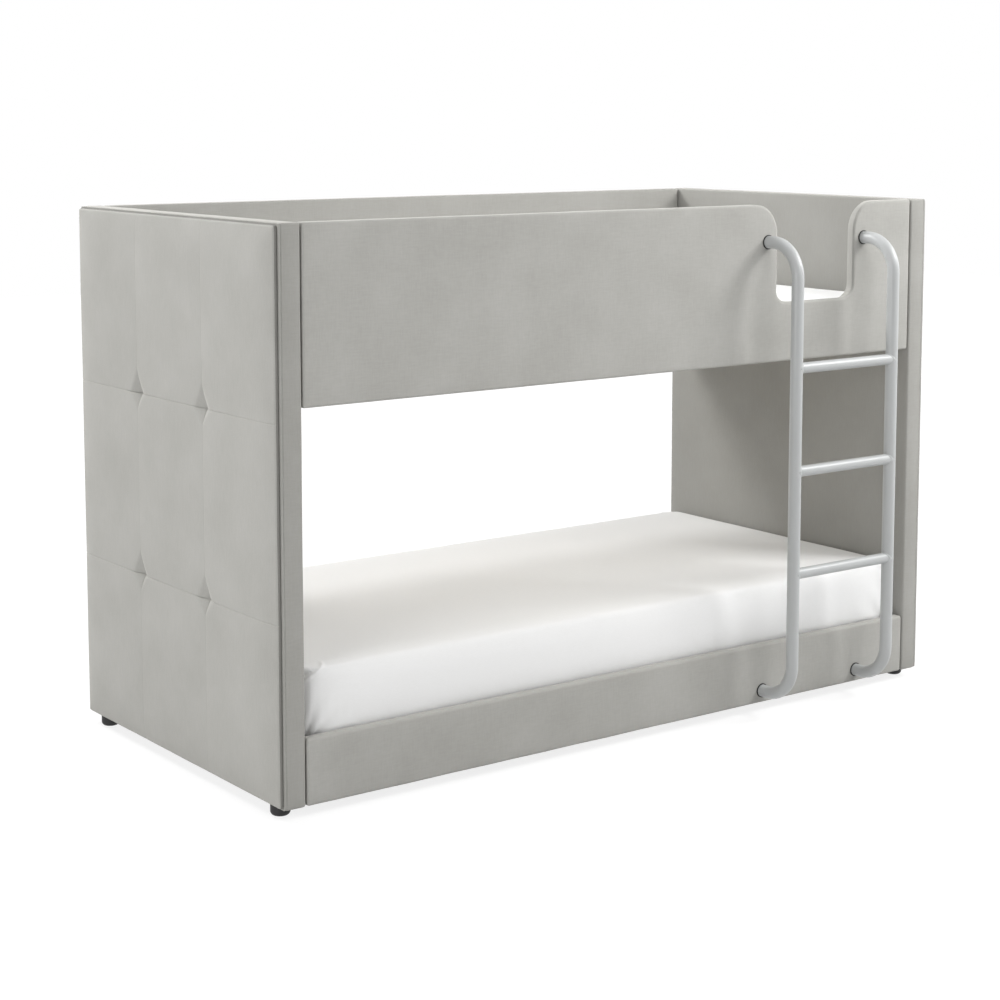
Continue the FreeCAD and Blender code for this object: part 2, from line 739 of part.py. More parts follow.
def corner_bracket(label, level, x_sign, y_sign):
    """Fold a steel angle into one inner corner, between an end panel and a padded board."""
    body = new_body(f"{label}_angle")
    sketch = sketch_on(body, f"{label}_profile", "XY_Plane")
    outline(sketch, [
        ("0", "0", None),
        ("bracket_leg", "0", None),
        ("bracket_leg", "bracket_thickness", "bracket_corner_radius"),
        ("bracket_thickness", "bracket_thickness", "bracket_corner_radius"),
        ("bracket_thickness", "bracket_leg", "bracket_corner_radius"),
        ("0", "bracket_leg", None),
    ])
    pad(body, sketch, "bracket_height")
    quarter_turns = {(-1, -1): 0, (1, -1): 1, (1, 1): 2, (-1, 1): 3}[(x_sign, y_sign)]
    spot = (f"{x_sign} * {INNER_LENGTH} / 2", f"{y_sign} * {INNER_WIDTH} / 2", bracket_base(level))
    place(body, *spot, FreeCAD.Rotation(UP, 90 * quarter_turns))
    drilled(body, label)


# Ladder


def ladder_stringer(label, sign):
    """Bend one upright tube: out of the guard, down, and back into the lower rail."""
    body = new_body(f"{label}_body")
    wall = f"-({PANEL_DEPTH} / 2 + ladder_washer_thickness)"
    front = f"-({PANEL_DEPTH} / 2 + ladder_standoff)"
    path = sketch_on(body, f"{label}_path", "YZ_Plane")
    edges = outline(path, [
        (wall, LADDER_TOP, None),
        (front, LADDER_TOP, "ladder_bend_radius"),
        (front, "ladder_bottom_rise", "ladder_bend_radius"),
        (wall, "ladder_bottom_rise", None),
    ], closed=False)
    ring = sketch_on(body, f"{label}_section", "XZ_Plane", f"{PANEL_DEPTH} / 2 + ladder_washer_thickness")
    circle(ring, "stringer_diameter", "0", LADDER_TOP)
    circle(ring, "stringer_diameter - 2 * tube_wall", "0", LADDER_TOP)
    pipe = body.newObject("PartDesign::AdditivePipe", f"{label}_tube")
    pipe.Profile = ring
    pipe.Spine = (path, [f"Edge{i}" for i in range(1, edges + 1)])
    place(body, x=f"{LADDER_X} + {sign} * stringer_spacing / 2")
    subpart(body, label)


def ladder_rung(label, step, copes):
    """Cut one rung tube, coped at both ends to the round of the stringers."""
    body = new_body(f"{label}_body")
    sketch = sketch_on(body, f"{label}_section", "YZ_Plane")
    circle(sketch, "rung_diameter")
    circle(sketch, "rung_diameter - 2 * tube_wall")
    pad(body, sketch, "stringer_spacing", both=True)
    z = f"{RUNG_MIDDLE} + {step} * rung_pitch"
    place(body, LADDER_X, f"-({PANEL_DEPTH} / 2 + ladder_standoff)", z)
    subpart(combine("Cut", f"{label}_coped", body, copes), label)


def ladder():
    """Build the ladder: two bent stringers, three rungs and what bolts their ends to the boards."""
    for side, sign in ENDS.items():
        ladder_stringer(f"ladder_{side}_stringer", sign)

    cutters = []
    for sign in ENDS.values():
        cope = DOC.addObject("Part::Cylinder", "rung_cope")
        bind(cope, Radius="stringer_diameter / 2 + weld_gap", Height=LADDER_TOP)
        x = f"{LADDER_X} + {sign} * stringer_spacing / 2"
        place(cope, x, f"-({PANEL_DEPTH} / 2 + ladder_standoff)")
        cutters.append(cope)
    copes = group("rung_copes", cutters)
    for name, step in (("bottom", -1), ("middle", 0), ("top", 1)):
        ladder_rung(f"ladder_{name}_rung", step, copes)

    outward = FreeCAD.Vector(0, -1, 0)
    inward = -outward
    face = f"-{PANEL_DEPTH} / 2"
    bore = "ladder_bolt_diameter + 2 * fit_clearance"
    washer = ring_master("ladder_washer", "ladder_washer_diameter", bore, "ladder_washer_thickness")
    copies("ladder_washers", washer, [((x, face, z), inward) for x, z in ladder_ends()])
    plug_outer = "stringer_diameter - 2 * tube_wall - 2 * fit_clearance"
    plug = ring_master("ladder_plug", plug_outer, bore, "ladder_plug_length")
    tube_end = f"{face} - ladder_washer_thickness"
    copies("ladder_end_plugs", plug, [((x, tube_end, z), inward) for x, z in ladder_ends()])
    bolt = bolt_master("ladder_bolt", "ladder_bolt")
    copies("ladder_bolts", bolt, [((x, f"-{INNER_WIDTH} / 2", z), outward) for x, z in ladder_ends()])


# Feet


def foot(label, x, y):
    """Turn one round foot, narrower at its rounded sole, with a socket for its stud."""
    body = new_body(f"{label}_body")
    sketch = sketch_on(body, f"{label}_profile", "XZ_Plane")
    socket = "foot_stud_diameter / 2 + fit_clearance"
    socket_floor = "-foot_stud_socket - fit_clearance"
    outline(sketch, [
        ("0", "-foot_height", None),
        ("foot_diameter / 2", "-foot_height", "foot_sole_radius"),
        ("foot_diameter / 2", "0", None),
        (socket, "0", None),
        (socket, socket_floor, None),
        ("0", socket_floor, None),
    ])
    revolve(body, sketch, "V_Axis")
    place(body, x, y)
    subpart(body, label)


def feet():
    """Build the four feet and the studs that screw them into the end frames."""
    for name, (x, y) in foot_spots().items():
        foot(f"{name}_foot", x, y)
    body = new_body("foot_stud")
    sketch = sketch_on(body, "foot_stud_section", "XY_Plane", "-foot_stud_socket")
    circle(sketch, "foot_stud_diameter")
    pad(body, sketch, "foot_stud_length")
    copies("foot_studs", body, [((x, y, "0"), -UP) for x, y in foot_spots().values()])


# Mattresses


def mattress_section(body, name, z, inset):
    """Draw a mattress's level section, a rounded rectangle drawn in from its full size."""
    sketch = sketch_on(body, name, "XY_Plane", z)
    long, wide = f"(mattress_length / 2 - {inset})", f"(mattress_width / 2 - {inset})"
    rectangle(sketch, f"-{long}", long, f"-{wide}", wide, "mattress_corner_radius")
    return sketch


def mattress(label, thickness, base):
    """Loft a mattress: flat underneath, full at its edges, drawn in between them, crowned on top."""
    body = new_body(f"{label}_body")
    border = [
        ("0", "mattress_shoulder_inset"),
        ("mattress_shoulder_height", "0"),
        (f"{thickness} / 2", "mattress_waist"),
        (f"{thickness} - mattress_shoulder_height", "0"),
        (thickness, "mattress_shoulder_inset"),
    ]
    crown = [(thickness, "mattress_shoulder_inset")]
    for inset, rise in zip(CROWN_INSET_SHARES, CROWN_RISE_SHARES):
        crown.append((f"{thickness} + {rise} * mattress_crown", f"{inset} * mattress_width"))
    for part, stations in (("border", border), ("crown", crown)):
        names = [f"{label}_{part}_{index}" for index in range(len(stations))]
        loft(body, [mattress_section(body, name, *station) for name, station in zip(names, stations)])
    place(body, z=f"{base} + mattress_rest_gap")
    subpart(body, label)


def build():
    """Build every piece of the bed."""
    for end, sign in ENDS.items():
        end_panel(end, sign)
    padded_rail("front_guard", -1, cutout_corners)
    padded_rail("rear_guard", 1, rail_corners("panel_height - guard_height", "panel_height"))
    for side, sign in SIDES.items():
        padded_rail(f"lower_{side}_rail", sign, rail_corners("0", "rail_height"))
    slatted_base("upper", UPPER_BEARER_BASE, "upper_bearer_height")
    slatted_base("lower", LOWER_BEARER_BASE, "lower_bearer_height")
    bolt = bolt_master("bracket_bolt", "bracket_bolt")
    for level in ("upper", "lower"):
        for end, x_sign in ENDS.items():
            for side, y_sign in SIDES.items():
                corner_bracket(f"{level}_{side}_{end}_bracket", level, x_sign, y_sign)
        copies(f"{level}_bracket_bolts", bolt, bracket_bolt_seats(level))
    ladder()
    feet()
    mattress("upper_mattress", "upper_mattress_thickness", UPPER_SLAT_TOP)
    mattress("lower_mattress", "lower_mattress_thickness", LOWER_SLAT_TOP)
    DOC.recompute()


def write():
    """Check every object, then write one file for each piece."""
    failed = [item.Label for item in DOC.Objects if {"Invalid", "Error"} & set(item.State)]
    if failed:
        raise RuntimeError(f"these objects did not build: {failed}")
    for piece in SUBPARTS:
        if piece.Shape.isNull() or not piece.Shape.isValid():
            raise RuntimeError(f"{piece.Label} has no sound shape")
    os.makedirs("parts", exist_ok=True)
    for piece in SUBPARTS:
        piece.Shape.exportStep(f"parts/{piece.Label}.step")
        print(f"{piece.Label}: {len(piece.Shape.Solids)} solids, {piece.Shape.Volume:.0f} cubic mm")


build()
write()
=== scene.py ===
"""Looks of the upholstered bunk bed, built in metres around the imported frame.

The floor is z = 0, +x runs along the bed towards the ladder end and -y is the ladder side.
"""
import logging
import math
from collections.abc import Callable, Iterable, Sequence
from dataclasses import dataclass
from enum import Enum

import bmesh
import bpy
from mathutils import Matrix, Vector, noise


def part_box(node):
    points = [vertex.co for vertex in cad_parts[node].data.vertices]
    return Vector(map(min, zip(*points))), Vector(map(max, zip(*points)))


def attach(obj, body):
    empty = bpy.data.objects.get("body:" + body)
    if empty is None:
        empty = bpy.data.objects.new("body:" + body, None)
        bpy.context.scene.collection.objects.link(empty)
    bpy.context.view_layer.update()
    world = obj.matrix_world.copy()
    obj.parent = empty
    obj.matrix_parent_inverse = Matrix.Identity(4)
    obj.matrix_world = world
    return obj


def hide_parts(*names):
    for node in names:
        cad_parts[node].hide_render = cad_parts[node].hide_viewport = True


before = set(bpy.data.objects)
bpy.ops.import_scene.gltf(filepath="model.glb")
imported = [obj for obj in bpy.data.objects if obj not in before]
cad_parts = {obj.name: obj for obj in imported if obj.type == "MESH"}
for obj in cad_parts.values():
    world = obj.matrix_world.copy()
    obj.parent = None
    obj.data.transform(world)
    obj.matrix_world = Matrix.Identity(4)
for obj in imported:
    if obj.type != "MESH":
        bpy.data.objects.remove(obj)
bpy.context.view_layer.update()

LOG = logging.getLogger("bunk_bed")
MM = 0.001
# Points closer than this are one point
SAME = 0.01 * MM
# Points within this of a plane lie on it
NEAR = 0.1 * MM
WHITE = (1.0, 1.0, 1.0, 1.0)
# Sockets of the colour mix node, whose names repeat
MIX_FACTOR, MIX_A, MIX_B, MIX_RESULT = 0, 6, 7, 2


class Axis(Enum):
    """A direction of the bed's frame."""

    X = 0
    Y = 1
    Z = 2

    @property
    def unit(self) -> Vector:
        """Vector of length one along the axis."""
        return Vector(tuple(float(i == self.value) for i in range(3)))


class End(Enum):
    """One end of the bed, with the way it faces along x."""

    LEFT = -1
    RIGHT = 1

    @property
    def word(self) -> str:
        """Name of the end as the frame's nodes spell it."""
        return self.name.lower()


class Bunk(Enum):
    """One of the two bunks, named as the frame's nodes name them."""

    UPPER = "upper"
    LOWER = "lower"


# Shader nodes


def linear(code: str) -> tuple[float, float, float, float]:
    """Turn an sRGB hex colour into linear light.

    Args:
        code: six hex digits, red first.

    Returns:
        Red, green and blue in linear light, and full alpha.
    """
    parts = [int(code[i:i + 2], 16) / 255 for i in (0, 2, 4)]
    return (*(p / 12.92 if p <= 0.04045 else ((p + 0.055) / 1.055) ** 2.4 for p in parts), 1.0)


def add_node(tree: bpy.types.NodeTree, kind: str, inputs: dict | None = None, **settings) -> bpy.types.Node:
    """Add one node to a tree, set its options and fill its inputs.

    Args:
        tree: node tree that gets the node.
        kind: Blender's name for the node type.
        inputs: value or output socket for each input, by name or number.
        settings: options of the node itself.

    Returns:
        The new node.
    """
    node = tree.nodes.new(kind)
    for name, value in settings.items():
        setattr(node, name, value)
    for socket, value in (inputs or {}).items():
        if isinstance(value, bpy.types.NodeSocket):
            tree.links.new(value, node.inputs[socket])
        else:
            node.inputs[socket].default_value = value
    return node


def start_material(name: str) -> tuple[bpy.types.Material, bpy.types.NodeTree, bpy.types.NodeSocket]:
    """Start an empty node material that reads Object coordinates.

    Args:
        name: name of the real material.

    Returns:
        The material, its node tree and the coordinate socket, in metres on the bed.
    """
    material = bpy.data.materials.new(name)
    material.use_nodes = True
    material.node_tree.nodes.clear()
    coordinates = add_node(material.node_tree, "ShaderNodeTexCoord")
    return material, material.node_tree, coordinates.outputs["Object"]


def end_material(tree: bpy.types.NodeTree, **inputs) -> None:
    """Close a material with a Principled shader.

    Args:
        tree: node tree to close.
        inputs: shader inputs, with underscores for the spaces in their names.
    """
    named = {name.replace("_", " "): value for name, value in inputs.items()}
    shader = add_node(tree, "ShaderNodeBsdfPrincipled", named)
    add_node(tree, "ShaderNodeOutputMaterial", {"Surface": shader.outputs["BSDF"]})


def bands(coordinate: bpy.types.NodeSocket, across: float, along: float, run: Axis) -> bpy.types.NodeSocket:
    """Make a noise that is drawn out along one axis, as brushed pile, threads or grain are.

    Args:
        coordinate: coordinate socket in metres.
        across: width of a streak, in metres.
        along: length of a streak, in metres.
        run: axis that the streaks follow.

    Returns:
        Grey value of the noise, from 0 to 1.
    """
    tree = coordinate.node.id_data
    scale = tuple(1 / (along if axis is run else across) for axis in Axis)
    stretched = add_node(tree, "ShaderNodeMapping", {"Vector": coordinate, "Scale": scale})
    streaks = add_node(tree, "ShaderNodeTexNoise", {
        "Vector": stretched.outputs[0], "Scale": 1.0, "Detail": 2.0})
    return streaks.outputs["Fac"]


# Finishes


@dataclass(frozen=True)
class Velvet:
    """Short-pile polyester velvet, woven and brushed.

    It gives the eye a pale warm grey with cloudy patches where the pile leans, a faint crossing
    of threads and a lighter rim where the pile is seen from the side.
    """

    name: str = "short_pile_velvet"
    pale: str = "AFAEAA"
    deep: str = "9D9C97"
    cloud: float = 150 * MM
    # The real thread is about 0.4 mm and is drawn coarser so that it shows
    thread: float = 3 * MM
    thread_run: float = 24 * MM
    pile: float = 1.5 * MM

    def material(self) -> bpy.types.Material:
        """Build the velvet."""
        material, tree, where = start_material(self.name)
        cloud = add_node(tree, "ShaderNodeTexNoise", {
            "Vector": where, "Scale": 1 / self.cloud, "Detail": 3.0})
        weft = bands(where, self.thread, self.thread_run, Axis.X)
        warp = bands(where, self.thread, self.thread_run, Axis.Z)
        pile = add_node(tree, "ShaderNodeTexNoise", {"Vector": where, "Scale": 1 / self.pile, "Detail": 1.0})
        weave = add_node(tree, "ShaderNodeMath", {0: weft, 1: warp}, operation="ADD")
        shade = add_node(tree, "ShaderNodeMath", {
            0: weave.outputs[0], 1: 0.5, 2: cloud.outputs["Fac"]}, operation="MULTIPLY_ADD")
        level = add_node(tree, "ShaderNodeMapRange", {
            "Value": shade.outputs[0], "From Min": 0.5, "From Max": 1.5, "To Min": 0.0, "To Max": 1.0})
        colour = add_node(tree, "ShaderNodeMix", {
            MIX_FACTOR: level.outputs[0], MIX_A: linear(self.deep), MIX_B: linear(self.pale),
        }, data_type="RGBA")
        grain = add_node(tree, "ShaderNodeMath", {
            0: weave.outputs[0], 1: pile.outputs["Fac"]}, operation="ADD")
        bump = add_node(tree, "ShaderNodeBump", {
            "Strength": 0.3, "Distance": 0.3 * MM, "Height": grain.outputs[0]})
        end_material(
            tree, Base_Color=colour.outputs[MIX_RESULT], Roughness=0.9, Sheen_Weight=0.3, Sheen_Roughness=0.4,
            Sheen_Tint=linear("F4F2EC"), Specular_IOR_Level=0.25, Normal=bump.outputs[0])
        return material


@dataclass(frozen=True)
class CottonPercale:
    """Plain-woven bleached cotton, washed and stretched.

    It gives the eye an even matt white with a very fine weave and faint soft creases.
    """

    name: str = "cotton_percale"
    pale: str = "EAEAEA"
    deep: str = "E5E5E4"
    crease: float = 60 * MM
    # The real thread is about 0.25 mm and is drawn coarser so that it shows
    thread: float = 1.6 * MM

    def material(self) -> bpy.types.Material:
        """Build the sheet's cotton."""
        material, tree, where = start_material(self.name)
        crease = add_node(tree, "ShaderNodeTexNoise", {
            "Vector": where, "Scale": 1 / self.crease, "Detail": 3.0})
        weave = bands(where, self.thread, self.thread * 6, Axis.X)
        colour = add_node(tree, "ShaderNodeMix", {
            MIX_FACTOR: weave, MIX_A: linear(self.deep), MIX_B: linear(self.pale)}, data_type="RGBA")
        soft = add_node(tree, "ShaderNodeBump", {
            "Strength": 0.3, "Distance": 1.2 * MM, "Height": crease.outputs["Fac"]})
        bump = add_node(tree, "ShaderNodeBump", {
            "Strength": 0.2, "Distance": 0.15 * MM, "Height": weave, "Normal": soft.outputs[0]})
        end_material(
            tree, Base_Color=colour.outputs[MIX_RESULT], Roughness=0.85, Sheen_Weight=0.1,
            Sheen_Roughness=0.5, Specular_IOR_Level=0.3, Normal=bump.outputs[0])
        return material


@dataclass(frozen=True)
class Timber:
    """Sawn and planed birch.

    It gives the eye a pale cream colour with slightly darker lines along the board.
    """

    name: str
    pale: str
    deep: str
    run: Axis
    line: float = 7 * MM
    line_run: float = 500 * MM

    def material(self) -> bpy.types.Material:
        """Build the timber with its grain along the board."""
        material, tree, where = start_material(self.name)
        grain = bands(where, self.line, self.line_run, self.run)
        fibre = bands(where, self.line / 6, self.line_run / 6, self.run)
        both = add_node(tree, "ShaderNodeMath", {0: fibre, 1: 0.35, 2: grain}, operation="MULTIPLY_ADD")
        level = add_node(tree, "ShaderNodeMapRange", {
            "Value": both.outputs[0], "From Min": 0.45, "From Max": 0.9, "To Min": 0.0, "To Max": 1.0})
        colour = add_node(tree, "ShaderNodeMix", {
            MIX_FACTOR: level.outputs[0], MIX_A: linear(self.pale), MIX_B: linear(self.deep),
        }, data_type="RGBA")
        bump = add_node(tree, "ShaderNodeBump", {
            "Strength": 0.2, "Distance": 0.3 * MM, "Height": both.outputs[0]})
        end_material(tree, Base_Color=colour.outputs[MIX_RESULT], Roughness=0.6, Normal=bump.outputs[0])
        return material


@dataclass(frozen=True)
class Coated:
    """A hard surface with a fine grit in its colour and relief: powder coat, zinc plate or moulded plastic.

    It gives the eye one colour whose gloss is broken up by the grit.
    """

    name: str
    pale: str
    deep: str
    grit: float
    relief: float
    roughness: float
    metallic: float = 0.0
    coat: float = 0.0

    def material(self) -> bpy.types.Material:
        """Build the hard finish."""
        material, tree, where = start_material(self.name)
        grit = add_node(tree, "ShaderNodeTexNoise", {"Vector": where, "Scale": 1 / self.grit, "Detail": 2.0})
        colour = add_node(tree, "ShaderNodeMix", {
            MIX_FACTOR: grit.outputs["Fac"], MIX_A: linear(self.deep), MIX_B: linear(self.pale),
        }, data_type="RGBA")
        gloss = add_node(tree, "ShaderNodeMapRange", {
            "Value": grit.outputs["Fac"], "To Min": self.roughness * 0.85, "To Max": self.roughness * 1.15})
        bump = add_node(tree, "ShaderNodeBump", {
            "Strength": 0.3, "Distance": self.relief, "Height": grit.outputs["Fac"]})
        end_material(
            tree, Base_Color=colour.outputs[MIX_RESULT], Roughness=gloss.outputs[0], Metallic=self.metallic,
            Coat_Weight=self.coat, Coat_Roughness=0.2, Normal=bump.outputs[0])
        return material


class Finishes:
    """Every finish on the bed, built once."""

    def __init__(self) -> None:
        """Build the materials."""
        self.velvet = Velvet().material()
        # A darker copy of the same cloth: painted shade for the end wraps, the pad boards and the rear guard
        self.velvet_down = Velvet("short_pile_velvet_nap_down", "A2A19D", "95948F").material()
        # A much darker copy: painted shade in the groove where the pad's rim turns down to the board
        self.velvet_crushed = Velvet("short_pile_velvet_crushed", "858480", "787773").material()
        self.cotton = CottonPercale().material()
        # A brighter copy of the cotton: painted light, so that the upper sheet's strip shows white
        self.bleached_cotton = CottonPercale("bleached_percale", "FAFAFA", "F5F5F4").material()
        self.ticking = CottonPercale("knitted_ticking", "E9E7E1", "D8D5CC", thread=3 * MM).material()
        self.upright_birch = Timber("birch_stile", "E4DAC8", "D3C4AA", Axis.Z).material()
        self.long_birch = Timber("birch_bearer", "E4DAC8", "D3C4AA", Axis.X).material()
        self.slat_birch = Timber("birch_slat", "E8E0D0", "DACDB6", Axis.Y).material()
        self.enamel = Coated(
            "powder_coated_steel", "B0B2B2", "ABADAD", grit=1.2 * MM, relief=0.05 * MM, roughness=0.4,
            coat=0.1).material()
        self.plastic = Coated(
            "moulded_black_polypropylene", "0F0F10", "0A0A0B", grit=0.8 * MM, relief=0.1 * MM,
            roughness=0.55).material()
        self.rubber = Coated(
            "moulded_black_rubber", "1E1D1C", "161514", grit=0.8 * MM, relief=0.1 * MM,
            roughness=0.7).material()
        self.zinc = Coated(
            "zinc_plated_steel", "C9CBCC", "B4B7BA", grit=3 * MM, relief=0.03 * MM, roughness=0.36,
            metallic=1.0).material()


# Mesh work


def slab(low: Vector, high: Vector) -> bmesh.types.BMesh:
    """Make a box between two corners.

    Args:
        low: lowest corner.
        high: highest corner.

    Returns:
        The box.
    """
    bm = bmesh.new()
    bmesh.ops.create_cube(bm, size=1.0, matrix=Matrix.LocRotScale((low + high) / 2, None, high - low))
    return bm


def lies_at(axis: Axis, *levels: float) -> Callable[[bmesh.types.BMEdge], bool]:
    """Give a test for edges that lie in one of some planes across an axis."""
    return lambda edge: any(all(abs(v.co[axis.value] - at) < SAME for v in edge.verts) for at in levels)


def runs_along(axis: Axis) -> Callable[[bmesh.types.BMEdge], bool]:
    """Give a test for edges that run along an axis."""
    return lambda edge: abs((edge.verts[1].co - edge.verts[0].co).normalized()[axis.value]) > 0.999


def round_over(
    bm: bmesh.types.BMesh, edges: Iterable[bmesh.types.BMEdge], radius: float, segments: int,
) -> None:
    """Round off some edges of a mesh, with a number of flats across the rounding."""
    bmesh.ops.bevel(
        bm, geom=list(edges), offset=radius, offset_type="OFFSET", segments=segments, profile=0.5,
        affect="EDGES", clamp_overlap=True, material=-1)


def cut_at(bm: bmesh.types.BMesh, axis: Axis, at: float) -> None:
    """Cut a mesh through at one place along an axis."""
    bmesh.ops.bisect_plane(
        bm, geom=[*bm.verts, *bm.edges, *bm.faces], plane_co=axis.unit * at, plane_no=axis.unit)


def cut_across(bm: bmesh.types.BMesh, axis: Axis, low: float, high: float, pitch: float) -> None:
    """Cut a mesh into even steps along an axis, so that it can bend there.

    Args:
        bm: mesh to cut.
        axis: axis to cut across.
        low: where the mesh starts.
        high: where it ends.
        pitch: about how long each step is.
    """
    count = max(2, round((high - low) / pitch))
    for step in range(1, count):
        cut_at(bm, axis, low + (high - low) * step / count)


def push(bm: bmesh.types.BMesh, moves: Iterable[float]) -> None:
    """Move every point of a mesh along its normal."""
    for vertex, move in zip(bm.verts, moves):
        vertex.co += vertex.normal * move


def ripple(bm: bmesh.types.BMesh, amount: float, wave: float, seed: float) -> None:
    """Push a surface in and out in soft waves.

    Args:
        bm: mesh to change.
        amount: height of the waves.
        wave: length of the waves.
        seed: which waves to take.
    """
    bm.normal_update()
    shift = Vector((seed, seed * 2, seed * 3))
    push(bm, [amount * noise.noise(v.co / wave + shift) for v in bm.verts])


def put(name: str, data: bpy.types.ID) -> bpy.types.Object:
    """Make an object and link it into the scene.

    Args:
        name: name of the object.
        data: its mesh, lamp or camera.

    Returns:
        The object.
    """
    item = bpy.data.objects.new(name, data)
    bpy.context.scene.collection.objects.link(item)
    return item


def put_mesh(name: str, bm: bmesh.types.BMesh) -> bpy.types.Object:
    """Make an object of a mesh in work.

    Args:
        name: name of the object and of its mesh.
        bm: the mesh in work, which stays as it is.

    Returns:
        The object.
    """
    mesh = bpy.data.meshes.new(name)
    bm.to_mesh(mesh)
    return put(name, mesh)


def take_away(item: bpy.types.Object) -> None:
    """Remove a scratch object and its mesh.

    Args:
        item: the object.
    """
    mesh = item.data
    bpy.data.objects.remove(item)
    bpy.data.meshes.remove(mesh)


def even_skin(bm: bmesh.types.BMesh, pitch: float) -> bmesh.types.BMesh:
    """Rebuild a closed form as an even skin of small squares, which cloth needs.

    Args:
        bm: closed form, which is freed.
        pitch: side of a square.

    Returns:
        The skin.
    """
    item = put_mesh("skin", bm)
    bm.free()
    squares = item.modifiers.new("squares", "REMESH")
    squares.mode = "VOXEL"
    squares.voxel_size = pitch
    done = item.evaluated_get(bpy.context.evaluated_depsgraph_get())
    skin = bmesh.new()
    skin.from_mesh(done.to_mesh())
    done.to_mesh_clear()
    take_away(item)
    return skin


@dataclass(frozen=True)
class ClothRun:
    """A short cloth simulation that lets stretched fabric find its own folds."""

    pressure: float
    # Share by which the loose parts are longer than the form they lie on
    slack: float
    # The furthest that any point moves
    cap: float
    stiffness: float = 15.0
    bending: float = 2.0
    mass: float = 0.15
    damping: float = 4.0
    quality: int = 6
    frames: int = 12
    # Weights below this count as none
    least_weight: float = 0.001

    def moves(self, bm: bmesh.types.BMesh, held: Sequence[float], loose: Sequence[float]) -> list[Vector]:
        """Run the cloth and give how far each point moves.

        Args:
            bm: the fabric as it starts.
            held: how firmly each point is held, from 0 to 1.
            loose: how much slack each point has, from 0 to 1.
        """
        scene = bpy.context.scene
        first = scene.frame_current
        item = put_mesh("cloth_run", bm)
        for name, weights in (("held", held), ("loose", loose)):
            group = item.vertex_groups.new(name=name)
            for index, weight in enumerate(weights):
                if weight > self.least_weight:
                    group.add([index], weight, "REPLACE")
        cloth = item.modifiers.new("cloth", "CLOTH")
        cloth.point_cache.frame_start = 1
        cloth.point_cache.frame_end = self.frames
        rules = cloth.settings
        rules.quality = self.quality
        rules.mass = self.mass
        rules.air_damping = self.damping
        rules.tension_stiffness = rules.compression_stiffness = rules.shear_stiffness = self.stiffness
        rules.bending_stiffness = self.bending
        rules.effector_weights.gravity = 0.0
        rules.use_pressure = True
        rules.uniform_pressure_force = self.pressure
        rules.vertex_group_mass = "held"
        rules.vertex_group_shrink = "loose"
        rules.shrink_min = 0.0
        rules.shrink_max = -self.slack
        for step in range(1, self.frames + 1):
            scene.frame_set(step)
        done = item.evaluated_get(bpy.context.evaluated_depsgraph_get())
        rest = done.to_mesh()
        moves = [after.co - before.co for after, before in zip(rest.vertices, bm.verts)]
        done.to_mesh_clear()
        take_away(item)
        scene.frame_set(first)
        LOG.info("cloth run: %d points, longest move %.1f mm", len(moves), max(m.length for m in moves) / MM)
        return [m.normalized() * self.cap * math.tanh(m.length / self.cap) for m in moves]


def settle(
    name: str, bm: bmesh.types.BMesh, look: bpy.types.Material, body: str = "frame",
    stands_for: Sequence[str] = (), skin: float = 0.0, seam: bpy.types.Material | None = None,
) -> bpy.types.Object:
    """Turn a finished mesh into a piece of the bed.

    Args:
        name: name of the piece.
        bm: its mesh, which is freed.
        look: its material.
        body: body that carries it.
        stands_for: frame nodes that it replaces.
        skin: wall thickness, for a hollow piece.
        seam: material of the faces that are marked with index 1, if any are; the pad's rim gets its painted
            groove shade this way.

    Returns:
        The piece.
    """
    bmesh.ops.recalc_face_normals(bm, faces=bm.faces)
    piece = put_mesh(name, bm)
    bm.free()
    mesh = piece.data
    mesh.shade_smooth()
    mesh.materials.append(look)
    if seam:
        mesh.materials.append(seam)
    if skin:
        wall = piece.modifiers.new("wall", "SOLIDIFY")
        wall.thickness = skin
        wall.offset = -1.0
    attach(piece, body)
    if stands_for:
        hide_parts(*stands_for)
    LOG.info("%s: %d faces on %s", name, len(mesh.polygons), body)
    return piece


def dress(nodes: Iterable[str], look: bpy.types.Material) -> None:
    """Give frame nodes a material.

    Args:
        nodes: names of the nodes.
        look: the material.
    """
    for name in nodes:
        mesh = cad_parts[name].data
        mesh.materials.clear()
        mesh.materials.append(look)
        LOG.info("%s: dressed in %s", name, look.name)


# Sub-assemblies


